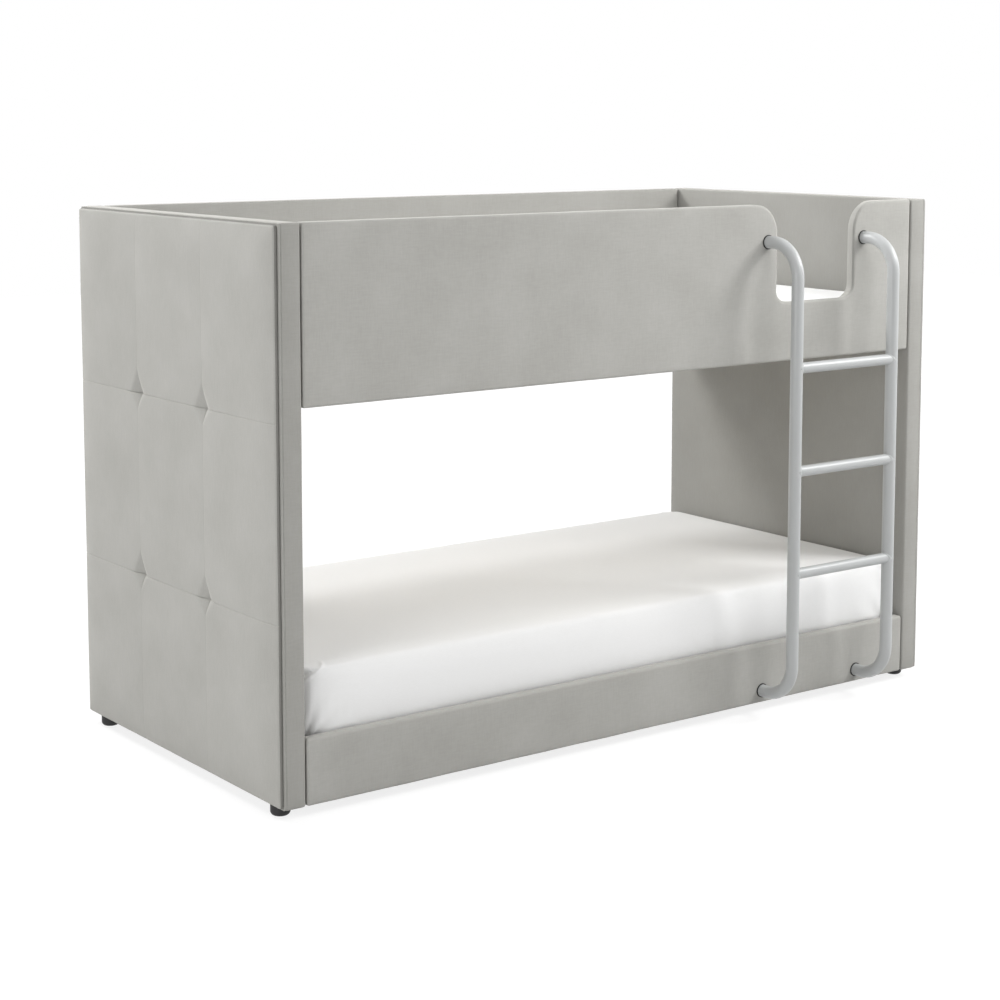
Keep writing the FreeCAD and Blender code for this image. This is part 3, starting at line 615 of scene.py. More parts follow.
@dataclass
class EndPanel:
    """One upholstered end: wrapped body, covered board and tufted outer pad."""

    end: End
    finishes: Finishes
    body_round: float = 6 * MM
    seam_round: float = 3 * MM
    skin: float = 4 * MM
    wrap_pitch: float = 30 * MM
    wrap_wave: tuple[float, float] = (0.5 * MM, 160 * MM)
    seam_level: float = 9 * MM
    crown: float = 1.2 * MM
    rim_share: float = 0.4
    rim_round: float = 5 * MM
    rim_steps: int = 5
    rim_tuck: float = 2 * MM
    corner_share: float = 0.8
    pad_skin: float = 1.2 * MM
    # Step of the rim's turn from which its faces take the painted groove shade
    painted_shade_from: int = 3
    # Each seam draws the face in, and more so near a tuft
    crease_depth: float = 0.9 * MM
    crease_width: float = 1.5 * MM
    crease_gain: float = 1.5
    # The upright seams are drawn less tight than the level ones
    upright_share: float = 0.45
    # The filling stands higher inside the rim, and reaches its full height this far in
    rim_rise: float = 5.5 * MM
    rim_reach: float = 55 * MM
    # Height and length of the filling's unevenness, and the least thickness of the pad
    uneven: tuple[float, float] = (0.35 * MM, 90 * MM)
    least: float = 1.4 * MM
    # Each tuft is a four-sided dip, deeper above than below, and a nib drawn into the hole in the board
    tuft_depth: float = 15 * MM
    tuft_reach: float = 41 * MM
    tuft_above: float = 58 * MM
    tuft_below: float = 38 * MM
    tuft_curve: float = 1.25
    nib_depth: float = 5 * MM
    nib_radius: float = 7 * MM
    tuft_row_shares: tuple[float, float] = (0.322, 0.664)
    fine_step: float = 1.0 * MM
    coarse_step: float = 10 * MM
    step_growth: float = 1.22
    cloth_step: float = 10 * MM
    seam_hold: float = 0.4
    cloth: ClothRun = ClothRun(pressure=0.2, slack=0.08, cap=1.2 * MM)

    def __post_init__(self) -> None:
        """Find the edges, seams and tufts of the pad, along y and z, and where its back lies."""
        self.shell, self.pad = f"{self.end.word}_end_shell", f"{self.end.word}_tufted_pad"
        self.shell_low, self.shell_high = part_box(self.shell)
        low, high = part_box(self.pad)
        self.back = low.x if self.end is End.RIGHT else high.x
        middle, aside = (low.y + high.y) / 2, (self.shell_high.y - self.shell_low.y) / 6
        columns = (middle - aside, middle + aside)
        tall = self.shell_high.z - self.shell_low.z
        rows = [self.shell_low.z + share * tall for share in self.tuft_row_shares]
        self.stops_y = [low.y + self.rim_round, *columns, high.y - self.rim_round]
        self.stops_z = [low.z + self.rim_round, *rows, high.z - self.rim_round]
        self.tufts = [(y, z) for y in columns for z in rows]

    def build(self) -> None:
        """Build the soft layers of the end and dress its board and timber."""
        self.wrapped_body()
        self.tufted_pad()
        word = self.end.word
        # The board's edge wears the darker velvet: painted shade
        dress([f"{word}_pad_board"], self.finishes.velvet_down)
        dress([f"{word}_end_stiles"], self.finishes.upright_birch)
        dress([f"{word}_end_cross_rails"], self.finishes.long_birch)

    def wrapped_body(self) -> None:
        """Build the velvet-wrapped body, hollow and open towards the board."""
        low, high = self.shell_low, self.shell_high
        inner, outer = (low.x, high.x) if self.end is End.RIGHT else (high.x, low.x)
        bm = slab(low, high)
        round_over(bm, filter(runs_along(Axis.X), bm.edges), self.body_round, 4)
        round_over(bm, filter(lies_at(Axis.X, inner), bm.edges), self.body_round, 4)
        round_over(bm, filter(lies_at(Axis.X, outer), bm.edges), self.seam_round, 3)
        lid = [face for face in bm.faces if all(abs(v.co.x - outer) < SAME for v in face.verts)]
        bmesh.ops.delete(bm, geom=lid, context="FACES_ONLY")
        cut_across(bm, Axis.Y, low.y, high.y, self.wrap_pitch)
        cut_across(bm, Axis.Z, low.z, high.z, self.wrap_pitch)
        ripple(bm, *self.wrap_wave, 3.0 + self.end.value)
        # The wrap wears the darker velvet: painted shade
        piece = settle(
            self.shell.replace("shell", "wrap"), bm, self.finishes.velvet_down,
            stands_for=[self.shell], skin=self.skin)

    def tufted_pad(self) -> None:
        """Build the pad: pillows between sewn seams, drawn in at four blind tufts."""
        bm = self.graded_sheet(self.graded(self.stops_y), self.graded(self.stops_z))
        folds = self.folds()
        for vertex in bm.verts:
            _, y, z = vertex.co
            vertex.co.x = self.height(y, z) + folds(y, z)
        self.turn_down_rim(bm)
        for vertex in bm.verts:
            vertex.co.x = self.back + self.end.value * vertex.co.x
        # The rim's turned-down faces take the much darker velvet: painted groove shade
        piece = settle(
            self.pad.replace("tufted", "velvet"), bm, self.finishes.velvet, stands_for=[self.pad],
            skin=self.pad_skin, seam=self.finishes.velvet_crushed)

    def folds(self) -> Callable[[float, float], float]:
        """Let the face relax as cloth between its edges, seams and tufts.

        Returns:
            A function that gives the height of the folds at a place on the panel.
        """
        grid = []
        for stops in (self.stops_y, self.stops_z):
            count = round((stops[-1] - stops[0]) / self.cloth_step)
            grid.append([stops[0] + (stops[-1] - stops[0]) * i / count for i in range(count + 1)])
        ys, zs = grid
        bm = self.graded_sheet(ys, zs)
        held, loose = [], []
        for vertex in bm.verts:
            _, y, z = vertex.co
            vertex.co.x = self.height(y, z)
            rim = min(y - ys[0], ys[-1] - y, z - zs[0], zs[-1] - z)
            seam = min(
                abs(at - line)
                for at, stops in ((y, self.stops_y), (z, self.stops_z)) for line in stops[1:-1])
            tuft = min(math.hypot(y - a, z - b) for a, b in self.tufts)
            fixed = rim < self.cloth_step / 2 or tuft < self.cloth_step * 1.5
            held.append(1.0 if fixed else self.seam_hold * (seam < self.cloth_step))
            loose.append(math.exp(-(tuft / self.tuft_reach) ** 2))
        step_y, step_z = ys[1] - ys[0], zs[1] - zs[0]
        places = [(round((v.co.y - ys[0]) / step_y), round((v.co.z - zs[0]) / step_z)) for v in bm.verts]
        rise = {place: move.x for place, move in zip(places, self.cloth.moves(bm, held, loose))}
        bm.free()

        def at(y: float, z: float) -> float:
            """Read the folds between the four nearest points."""
            across, up = (y - ys[0]) / step_y, (z - zs[0]) / step_z
            column, row = min(int(across), len(ys) - 2), min(int(up), len(zs) - 2)
            a, b = across - column, up - row
            near = (1 - a) * rise[column, row] + a * rise[column + 1, row]
            far = (1 - a) * rise[column, row + 1] + a * rise[column + 1, row + 1]
            return (1 - b) * near + b * far

        return at

    def graded(self, stops: Sequence[float]) -> list[float]:
        """Space stations finely at each stop and coarsely between them.

        Args:
            stops: edges and seams, in order.

        Returns:
            All the stations, in order.
        """
        stations = [stops[0]]
        for start, end in zip(stops, stops[1:]):
            half, steps, step = (end - start) / 2, [0.0], self.fine_step
            while steps[-1] + step < half:
                steps.append(steps[-1] + step)
                step = min(step * self.step_growth, self.coarse_step)
            steps = [at * half / steps[-1] for at in steps]
            stations += [start + at for at in steps[1:]]
            stations += [end - at for at in reversed(steps[:-1])]
        return stations

    @staticmethod
    def graded_sheet(ys: Sequence[float], zs: Sequence[float]) -> bmesh.types.BMesh:
        """Make an upright grid with lines at given stations.

        Args:
            ys: stations along y.
            zs: stations along z.

        Returns:
            The grid, at x = 0.
        """
        bm = bmesh.new()
        bmesh.ops.create_grid(bm, x_segments=len(ys) - 1, y_segments=len(zs) - 1, size=1.0)
        for vertex in bm.verts:
            column = round((vertex.co.x + 1) / 2 * (len(ys) - 1))
            row = round((vertex.co.y + 1) / 2 * (len(zs) - 1))
            vertex.co = (0.0, ys[column], zs[row])
        return bm

    def swell(self, at: float, stops: Sequence[float]) -> float:
        """Give the fullness of a pillow across one direction.

        Args:
            at: where to look.
            stops: edges and seams in that direction.

        Returns:
            From 0 on a seam to 1 in the middle of a pillow, and part of that at the rim.
        """
        for index, (start, end) in enumerate(zip(stops, stops[1:])):
            if at <= end or index == len(stops) - 2:
                share = min(1.0, max(0.0, (at - start) / (end - start)))
                full = math.sin(math.pi * share)
                if index == 0 and share < 0.5 or index == len(stops) - 2 and share > 0.5:
                    full = self.rim_share + (1 - self.rim_share) * full
                return full
        return 0.0

    def height(self, y: float, z: float) -> float:
        """Give how far the pad's face stands off its back.

        Args:
            y: place along the panel.
            z: place up the panel.

        Returns:
            Thickness of the pad there.
        """
        tufts = [(y - tuft_y, z - tuft_z) for tuft_y, tuft_z in self.tufts]
        near = min(math.hypot(*tuft) for tuft in tufts)
        dome = 1.0
        for at, stops in ((y, self.stops_y), (z, self.stops_z)):
            dome *= 1 - max(0.0, 1 - min(at - stops[0], stops[-1] - at) / self.rim_reach) ** 2
        full = self.crown * self.swell(y, self.stops_y) * self.swell(z, self.stops_z)
        rise = self.seam_level + self.rim_rise * dome + full
        crease = self.crease_depth * (1 + self.crease_gain * math.exp(-near / self.tuft_reach))
        for at, stops, share in ((y, self.stops_y, self.upright_share), (z, self.stops_z, 1.0)):
            for seam in stops[1:-1]:
                rise -= share * crease * math.exp(-((at - seam) / self.crease_width) ** 2)
        rough, length = self.uneven
        rise += rough * noise.noise(Vector((y, z, self.end.value)) / length)
        rise = max(self.least, rise - max(self.pull(*tuft) for tuft in tufts))
        return rise - self.nib_depth * max(0.0, 1 - near / self.nib_radius)

    def pull(self, across: float, up: float) -> float:
        """Give how far a tuft draws the face in: a dip with an arm along each seam.

        Args:
            across: distance from the tuft along y.
            up: distance from the tuft along z.

        Returns:
            Depth of the dip.
        """
        tall = self.tuft_above if up > 0 else self.tuft_below
        share = abs(across) / self.tuft_reach + abs(up) / tall
        return self.tuft_depth * max(0.0, 1 - share) ** self.tuft_curve

    def turn_down_rim(self, bm: bmesh.types.BMesh) -> None:
        """Carry the face round its edge and back to the board.

        Args:
            bm: the face, with its height in x.
        """
        def place(vertex: bmesh.types.BMVert) -> tuple[float, float]:
            """Name a point by where it lies on the panel."""
            return round(vertex.co.y, 6), round(vertex.co.z, 6)

        edge = [e for e in bm.edges if e.is_boundary]
        start = {}
        for vertex in {v for e in edge for v in e.verts}:
            side = [
                (at - stops[0] < SAME) * -1 + (stops[-1] - at < SAME)
                for at, stops in ((vertex.co.y, self.stops_y), (vertex.co.z, self.stops_z))
            ]
            if all(side):
                side = [self.corner_share * s for s in side]
            start[place(vertex)] = (vertex.co.copy(), side)
        turns = [math.radians(90 * step / self.rim_steps) for step in range(1, self.rim_steps + 1)]
        rings = [(self.rim_round * math.sin(turn), self.rim_round * (1 - math.cos(turn))) for turn in turns]
        plan = [(out, lambda face, drop=drop: face - drop) for out, drop in rings]
        plan.append((self.rim_round, lambda face: self.rim_tuck))
        plan.append((self.rim_round - self.rim_tuck, lambda face: 0.0))
        shells = {key: key for key in start}
        for step, (out, level) in enumerate(plan):
            made = bmesh.ops.extrude_edge_only(bm, edges=edge)["geom"]
            moved = {}
            for vertex in (item for item in made if isinstance(item, bmesh.types.BMVert)):
                key = shells[place(vertex)]
                spot, side = start[key]
                vertex.co = (level(spot.x), spot.y + out * side[0], spot.z + out * side[1])
                moved[place(vertex)] = key
            shells = moved
            edge = [item for item in made if isinstance(item, bmesh.types.BMEdge)]
            # From this step on, the rim's faces take the painted groove shade
            for face in (f for e in edge for f in e.link_faces if step >= self.painted_shade_from):
                face.material_index = 1


@dataclass
class PaddedBoard:
    """One padded board between the ends: a guard or a lower rail."""

    name: str
    look: bpy.types.Material
    core_look: bpy.types.Material
    # Height of the waves in its fabric, and which waves to take
    wave: float
    seed: float
    # Whether it has the climbing cut-out
    cut: bool = False
    edge_round: float = 6.5 * MM
    end_swell: float = 2.5 * MM
    skin: float = 2.7 * MM
    pitch: float = 25 * MM
    wave_length: float = 150 * MM
    fine_wave_length: float = 45 * MM
    cutout_width: float = 280 * MM
    cutout_depth: float = 255 * MM
    shoulder_round: float = 78 * MM
    floor_round: float = 35 * MM
    # Place of the seam behind the board's face, half its width and its depth
    seam_place: float = 5 * MM
    seam_half: float = 1.1 * MM
    seam_sink: float = 2.4 * MM
    # Where the seam ends beside the cut-out and how soon it fades there, in half widths of the cut-out
    seam_end: float = 1.5
    seam_fade: float = 0.2
    # Depth of the puckers in the tight corners, how far they reach, and their length and slant
    pucker: float = 2.5 * MM
    pucker_reach: float = 30 * MM
    pucker_length: float = 3.5 * MM
    pucker_slant: float = 60.0
    margin: float = 1 * MM

    def __post_init__(self) -> None:
        """Find the board's lowest and highest corner, and the cut-out's walls and floor."""
        self.low, self.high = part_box(f"{self.name}_cover")
        # The padding swells a little into the joints with the ends
        self.low.x -= self.end_swell
        self.high.x += self.end_swell
        ladder = (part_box("ladder_left_stringer")[0].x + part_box("ladder_right_stringer")[1].x) / 2
        self.left, self.right = ladder - self.cutout_width / 2, ladder + self.cutout_width / 2
        self.floor = self.high.z - self.cutout_depth

    def build(self) -> None:
        """Build the padded cover and dress the core."""
        low, high = self.low, self.high
        bm = self.cut_board() if self.cut else slab(low, high)
        faces = lies_at(Axis.Y, low.y, high.y)
        ends = lies_at(Axis.X, low.x, high.x)
        round_over(bm, [e for e in bm.edges if faces(e) or ends(e)], self.edge_round, 5)
        cut_across(bm, Axis.X, low.x, high.x, self.pitch)
        cut_across(bm, Axis.Z, low.z, high.z, self.pitch)
        if self.cut:
            self.sew_cutout(bm)
        ripple(bm, self.wave, self.wave_length, self.seed)
        ripple(bm, self.wave / 3, self.fine_wave_length, self.seed + 0.5)
        piece = settle(
            f"{self.name}_velvet", bm, self.look, stands_for=[f"{self.name}_cover"], skin=self.skin)
        dress([f"{self.name}_core"], self.core_look)

    def sew_cutout(self, bm: bmesh.types.BMesh) -> None:
        """Sink the seam that runs round the cut-out behind its front edge, and pucker its tight corners.

        Args:
            bm: the cover.
        """
        seam = self.low.y + self.seam_place
        for at in (seam - self.seam_half, seam, seam + self.seam_half):
            cut_at(bm, Axis.Y, at)
        bm.normal_update()
        centre, half = (self.left + self.right) / 2, (self.right - self.left) / 2
        moves = []
        for vertex in bm.verts:
            x, y, z = vertex.co
            aside = abs(x - centre)
            left_over = self.seam_end - aside / half
            between = self.low.y + self.margin < y < self.high.y - self.margin
            if left_over <= 0 or z <= self.floor - self.margin or not between:
                moves.append(0.0)
                continue
            sink = self.seam_sink * (abs(y - seam) < NEAR) * min(1.0, left_over / self.seam_fade)
            corner = math.hypot(aside - half, z - self.floor)
            fold = math.sin(y / self.pucker_length + self.pucker_slant * x)
            moves.append(self.pucker * fold * math.exp(-(corner / self.pucker_reach) ** 2) - sink)
        push(bm, moves)

    def cut_board(self) -> bmesh.types.BMesh:
        """Make the front guard with its rounded cut-out over the ladder.

        Returns:
            The board, with its outer edges still sharp.
        """
        low, high, left, right, floor = self.low, self.high, self.left, self.right, self.floor
        outline = [
            (low.x, low.z), (high.x, low.z), (high.x, high.z), (right, high.z),
            (right, floor), (left, floor), (left, high.z), (low.x, high.z),
        ]
        bm = bmesh.new()
        face = bm.faces.new([bm.verts.new((x, low.y, z)) for x, z in outline])
        made = bmesh.ops.extrude_face_region(bm, geom=[face])["geom"]
        far = [item for item in made if isinstance(item, bmesh.types.BMVert)]
        bmesh.ops.translate(bm, verts=far, vec=Axis.Y.unit * (high.y - low.y))
        walls, depth = lies_at(Axis.X, left, right), runs_along(Axis.Y)
        for level, radius, segments in ((high.z, self.shoulder_round, 12), (floor, self.floor_round, 8)):
            at_level = lies_at(Axis.Z, level)
            round_over(bm, [e for e in bm.edges if depth(e) and walls(e) and at_level(e)], radius, segments)
        return bm


@dataclass
class Mattress:
    """One loose mattress in a fitted sheet."""

    bunk: Bunk
    finishes: Finishes
    # The sheet stands off the mattress at its corners, where it is gathered
    corner_round: float
    sheet_corner_round: float
    # How far the sheet swells at its long sides, just above the rails
    belly: float
    sheet_look: bpy.types.Material
    shoulder_round: float = 14 * MM
    crown: float = 4 * MM
    # How flat the crown stays before it falls to the ends and to the long sides
    crown_powers: tuple[int, int] = (6, 4)
    pitch: float = 30 * MM
    side_pitch: float = 25 * MM
    # Points this near the top or the underside belong to it
    top_band: float = 0.5 * MM
    under_band: float = 1 * MM
    sheet_gap: float = 2.5 * MM
    # Shares of the mattress's height where the swelling starts and is fullest
    belly_shares: tuple[float, float] = (0.06, 0.22)
    sheet_thickness: float = 0.6 * MM
    sheet_tuck: float = 90 * MM
    sheet_pitch: float = 12 * MM
    # Height, length and choice of the waves in the sheet
    waves: tuple[float, float, float] = (0.9 * MM, 210 * MM, 11.0)
    # Size of the gathered zone at each corner, and the depth, number and root of the gathers
    gather: float = 150 * MM
    gather_depth: float = 7 * MM
    gather_count: int = 13
    gather_root: tuple[float, float] = (5 * MM, 10 * MM)
    # Line of the pleat at each corner, as distance from the end and height above the mattress's edge
    pleat_foot: tuple[float, float] = (18 * MM, -23 * MM)
    pleat_tip: tuple[float, float] = (62 * MM, -1 * MM)
    # Distances over which the pleat fades past its ends and away from the long side
    pleat_fade: tuple[float, float] = (6 * MM, 90 * MM)
    # Height of the pleat's ridge at its tip and what its foot adds, and the ridge's width
    ridge: tuple[float, float] = (2 * MM, 3 * MM)
    ridge_width: float = 3 * MM
    # Depth of the pocket beside the ridge, and its distance from the ridge and its width, each at the
    # tip and what the foot adds
    pocket_depth: float = 9 * MM
    pocket_off: tuple[float, float] = (4 * MM, 8 * MM)
    pocket_width: tuple[float, float] = (3 * MM, 6 * MM)
    cloth: ClothRun = ClothRun(pressure=0.3, slack=0.05, cap=4 * MM)

    def __post_init__(self) -> None:
        """Find the mattress in the frame."""
        self.node = f"{self.bunk.value}_mattress"
        self.low, self.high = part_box(self.node)
        self.edge = self.high.z - self.crown

    def build(self) -> None:
        """Build the mattress and its sheet."""
        piece = settle(
            f"{self.node}_core", self.form(self.corner_round), self.finishes.ticking,
            body=self.node, stands_for=[self.node])
        self.fitted_sheet()

    def form(self, corner_round: float) -> bmesh.types.BMesh:
        """Make the mattress's form.

        Args:
            corner_round: radius of its upright corners.

        Returns:
            The closed form.
        """
        low, high, top = self.low, self.high, self.edge
        bm = slab(low, Vector((high.x, high.y, top)))
        round_over(bm, filter(runs_along(Axis.Z), bm.edges), corner_round, 14)
        round_over(bm, filter(lies_at(Axis.Z, low.z, top), bm.edges), self.shoulder_round, 4)
        cut_across(bm, Axis.X, low.x, high.x, self.pitch)
        cut_across(bm, Axis.Y, low.y, high.y, self.pitch)
        cut_across(bm, Axis.Z, low.z, top, self.side_pitch)
        centre, half = (low + high) / 2, (high - low) / 2
        long_power, side_power = self.crown_powers
        for vertex in bm.verts:
            along = min(1.0, abs(vertex.co.x - centre.x) / half.x)
            across = min(1.0, abs(vertex.co.y - centre.y) / half.y)
            if vertex.co.z > top - self.top_band:
                vertex.co.z += self.crown * (1 - along ** long_power) * (1 - across ** side_power)
        return bm

    def fitted_sheet(self) -> None:
        """Build the sheet that is pulled over the mattress, gathered at its corners and tucked under it."""
        low, high = self.low, self.high
        bm = even_skin(self.form(self.sheet_corner_round), self.sheet_pitch)
        middles = {face: face.calc_center_median() for face in bm.faces}
        under = [
            face for face, at in middles.items() if at.z < low.z + self.under_band and self.inside(at)]
        bmesh.ops.delete(bm, geom=under, context="FACES")
        bm.normal_update()
        tall = self.edge - low.z
        for vertex in bm.verts:
            swell = self.swell((vertex.co.z - low.z) / tall) * vertex.normal.y ** 2
            vertex.co += vertex.normal * (self.sheet_gap + self.belly * swell)
        held = [float(v.co.z < low.z + self.belly_shares[1] * tall) for v in bm.verts]
        loose = [math.exp(-(math.hypot(*self.from_sides(v.co)) / self.gather) ** 2) for v in bm.verts]
        bm.normal_update()
        for vertex, move in zip(bm.verts, self.cloth.moves(bm, held, loose)):
            # The mattress under the sheet lets it move outwards and along, never in
            vertex.co += move - vertex.normal * min(0.0, move.dot(vertex.normal))
        ripple(bm, *self.waves)
        self.corner_pleats(bm)
        piece = settle(
            f"{self.bunk.value}_fitted_sheet", bm, self.sheet_look, body=self.node,
            skin=self.sheet_thickness)

    def swell(self, height: float) -> float:
        """Give the sheet's swelling: quick above the rail, then slowly less.

        Args:
            height: share of the mattress's height.

        Returns:
            From 0 for none to 1 for the fullest.
        """
        start, full = self.belly_shares
        rise = min(1.0, max(0.0, (height - start) / (full - start)))
        fall = min(1.0, max(0.0, (height - full) / (1 - full)))
        return rise * rise * (3 - 2 * rise) * (1 - fall * fall)

    def from_sides(self, spot: Vector) -> tuple[float, float]:
        """Give how far inside the nearest end and the nearest long side a spot is."""
        low, high = self.low, self.high
        return min(spot.x - low.x, high.x - spot.x), min(spot.y - low.y, high.y - spot.y)

    def inside(self, spot: Vector) -> bool:
        """Tell whether a spot under the mattress lies inside the sheet's hem."""
        return min(self.from_sides(spot)) > self.sheet_tuck

    def corner_pleats(self, bm: bmesh.types.BMesh) -> None:
        """Fold a pleat into each corner of the sheet, with gathers running up from the hem below it.

        Args:
            bm: the sheet.
        """
        near = [e for e in bm.edges if all(math.hypot(*self.from_sides(v.co)) < self.gather for v in e.verts)]
        bmesh.ops.subdivide_edges(bm, edges=near, cuts=3, use_grid_fill=True, smooth=0.3)
        bm.normal_update()
        foot, tip = Vector(self.pleat_foot), Vector(self.pleat_tip)
        along = (tip - foot).normalized()
        length, aside = (tip - foot).length, Vector((-along.y, along.x))
        past_fade, across_fade = self.pleat_fade
        moves = []
        for vertex in bm.verts:
            inwards, across = self.from_sides(vertex.co)
            away = math.hypot(inwards, across)
            if away > self.gather:
                moves.append(0.0)
                continue
            spot = Vector((inwards, vertex.co.z - self.edge)) - foot
            run, off = spot.dot(along), spot.dot(aside)
            past = max(0.0, -run, run - length)
            fade = math.exp(-(past / past_fade) ** 2) * math.exp(-(across / across_fade) ** 2)
            open_share = min(1.0, max(0.0, 1 - run / length))
            sizes = (self.ridge, self.pocket_off, self.pocket_width)
            ridge, pocket, width = (at_tip + added * open_share for at_tip, added in sizes)
            upright = (1 - max(0.0, vertex.normal.z)) ** 2
            fold = ridge * math.exp(-(off / self.ridge_width) ** 2)
            fold -= self.pocket_depth * open_share * upright * math.exp(-((off - pocket) / width) ** 4)
            beside, above = self.gather_root
            turn = math.atan2(vertex.co.z - self.low.z + above, inwards - across + beside)
            height = (vertex.co.z - self.low.z) / (self.edge - self.low.z)
            gathers = -self.gather_depth * (0.5 + 0.5 * math.sin(self.gather_count * turn))
            gathers *= (1 - away / self.gather) * max(0.0, 1 - height) * (height > 0.0)
            moves.append(fold * fade + gathers)
        push(bm, moves)


@dataclass
class Ladder:
    """The bent-tube ladder: enamelled tubes, weld beads and black washers."""

    finishes: Finishes
    bead: float = 2.2 * MM
    merge: float = 0.02 * MM

    def build(self) -> None:
        """Dress the tubes and add the beads."""
        rungs = [f"ladder_{step}_rung" for step in ("bottom", "middle", "top")]
        stringers = ["ladder_left_stringer", "ladder_right_stringer"]
        dress([*rungs, *stringers], self.finishes.enamel)
        dress(["ladder_washers"], self.finishes.rubber)
        dress(["ladder_end_plugs"], self.finishes.plastic)
        dress(["ladder_bolts"], self.finishes.zinc)
        self.weld_beads(rungs, stringers)

    def weld_beads(self, rungs: Sequence[str], stringers: Sequence[str]) -> None:
        """Run a weld bead round both ends of every rung.

        Args:
            rungs: names of the rungs.
            stringers: names of the stringers, left first.
        """
        bm = bmesh.new()
        for rung in rungs:
            low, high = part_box(rung)
            middle, radius = (low + high) / 2, (high.z - low.z) / 2
            for stringer, way in zip(stringers, (1, -1)):
                tube_low, tube_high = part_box(stringer)
                axis_x, tube = (tube_low.x + tube_high.x) / 2, (tube_high.x - tube_low.x) / 2
                start = Vector((0.0, middle.y, middle.z + radius))
                upright = Matrix.LocRotScale(start, Matrix.Rotation(math.pi / 2, 3, "Y"), None)
                made = bmesh.ops.create_circle(bm, segments=8, radius=self.bead, matrix=upright)["verts"]
                bmesh.ops.rotate(bm, verts=made, cent=start, matrix=Matrix.Rotation(math.pi / 2, 4, "Z"))
                edges = list({edge for vertex in made for edge in vertex.link_edges})
                bmesh.ops.spin(
                    bm, geom=[*made, *edges], cent=(0.0, middle.y, middle.z), axis=Axis.X.unit,
                    angle=math.tau, steps=40, use_merge=True)
                # The new bead still lies at x = 0, and goes to its tube
                for vertex in (v for v in bm.verts if abs(v.co.x) < self.bead * 1.5):
                    reach = min(tube, abs(vertex.co.y - middle.y))
                    vertex.co.x += axis_x + way * math.sqrt(tube * tube - reach * reach)
        bmesh.ops.remove_doubles(bm, verts=bm.verts, dist=self.merge)
        settle("ladder_weld_beads", bm, self.finishes.enamel)


@dataclass
class Understructure:
    """The pieces that carry and join the bed: bearers, slats, brackets, bolts and feet."""

    finishes: Finishes
    screw_radius: float = 4 * MM
    screw_rise: float = 1 * MM
    screw_inset: float = 14 * MM

    def build(self) -> None:
        """Dress the hidden pieces and drive the slat screws."""
        looks = {
            "slat_bearer": self.finishes.long_birch, "_slats": self.finishes.slat_birch,
            "_bracket": self.finishes.zinc, "_bracket_bolts": self.finishes.zinc,
            "foot_studs": self.finishes.zinc, "_foot": self.finishes.plastic,
        }
        for ending, look in looks.items():
            dress([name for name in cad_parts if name.endswith(ending)], look)
        for bunk in Bunk:
            self.slat_screws(bunk)

    def slat_screws(self, bunk: Bunk) -> None:
        """Drive a screw through both ends of every slat.

        Args:
            bunk: the bunk whose slats are fixed.
        """
        node = f"{bunk.value}_slats"
        low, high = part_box(node)
        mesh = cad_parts[node].data
        starts = sorted({round(v.co.x, 4) for v in mesh.vertices if v.co.z > high.z - NEAR})
        bm = bmesh.new()
        for first, last in zip(starts[::2], starts[1::2]):
            for y in (low.y + self.screw_inset, high.y - self.screw_inset):
                spot = Vector(((first + last) / 2, y, high.z))
                bmesh.ops.create_cone(
                    bm, cap_ends=True, segments=12, radius1=self.screw_radius,
                    radius2=self.screw_radius * 0.7, depth=self.screw_rise, matrix=Matrix.Translation(spot))
        settle(f"{bunk.value}_slat_screws", bm, self.finishes.zinc)


# Stage


@dataclass(frozen=True)
class Lamp:
    """A square soft lamp that shines at the middle of the bed."""

    name: str
    # Direction from the bed to the lamp, its distance and side in metres, its power in watts
    way: tuple[float, float, float]
    distance: float
    size: float
    power: float

    def hang(self, target: Vector) -> None:
        """Hang the lamp.

        Args:
            target: point it shines at.
        """
        data = bpy.data.lights.new(self.name, "AREA")
        data.shape = "SQUARE"
        data.size = self.size
        data.energy = self.power
        item = put(self.name, data)
        way = Vector(self.way).normalized()
        item.location = target + way * self.distance
        item.rotation_euler = (-way).to_track_quat("-Z", "Y").to_euler()


LAMPS = (
    # Throws the ladder's shadow on the guard and parts its tubes into a dark and a bright side
    Lamp("key", (0.645, -0.496, 0.581), 4.0, 1.3, 100.0),
    # Grazes the left pad, so that its tufts and seams show
    Lamp("window", (-0.5, 0.6, 0.62), 5.0, 1.4, 152.0),
    Lamp("fill_left", (-0.95, -0.3, 0.12), 4.5, 1.5, 57.0),
    Lamp("fill_front", (0.2, -1.0, 0.8), 4.0, 2.0, 47.0),
    # Lights the top edges
    Lamp("overhead", (-0.1, 0.1, 1.0), 3.5, 3.0, 42.0),
    # Reaches the lower sheet through the open back
    Lamp("back", (0.0, 0.9, 0.7), 4.5, 3.0, 65.0),
    Lamp("right", (0.95, -0.3, 0.35), 4.5, 2.0, 24.0),
    Lamp("right_back", (1.0, 0.1, 0.4), 4.5, 3.0, 33.0),
)


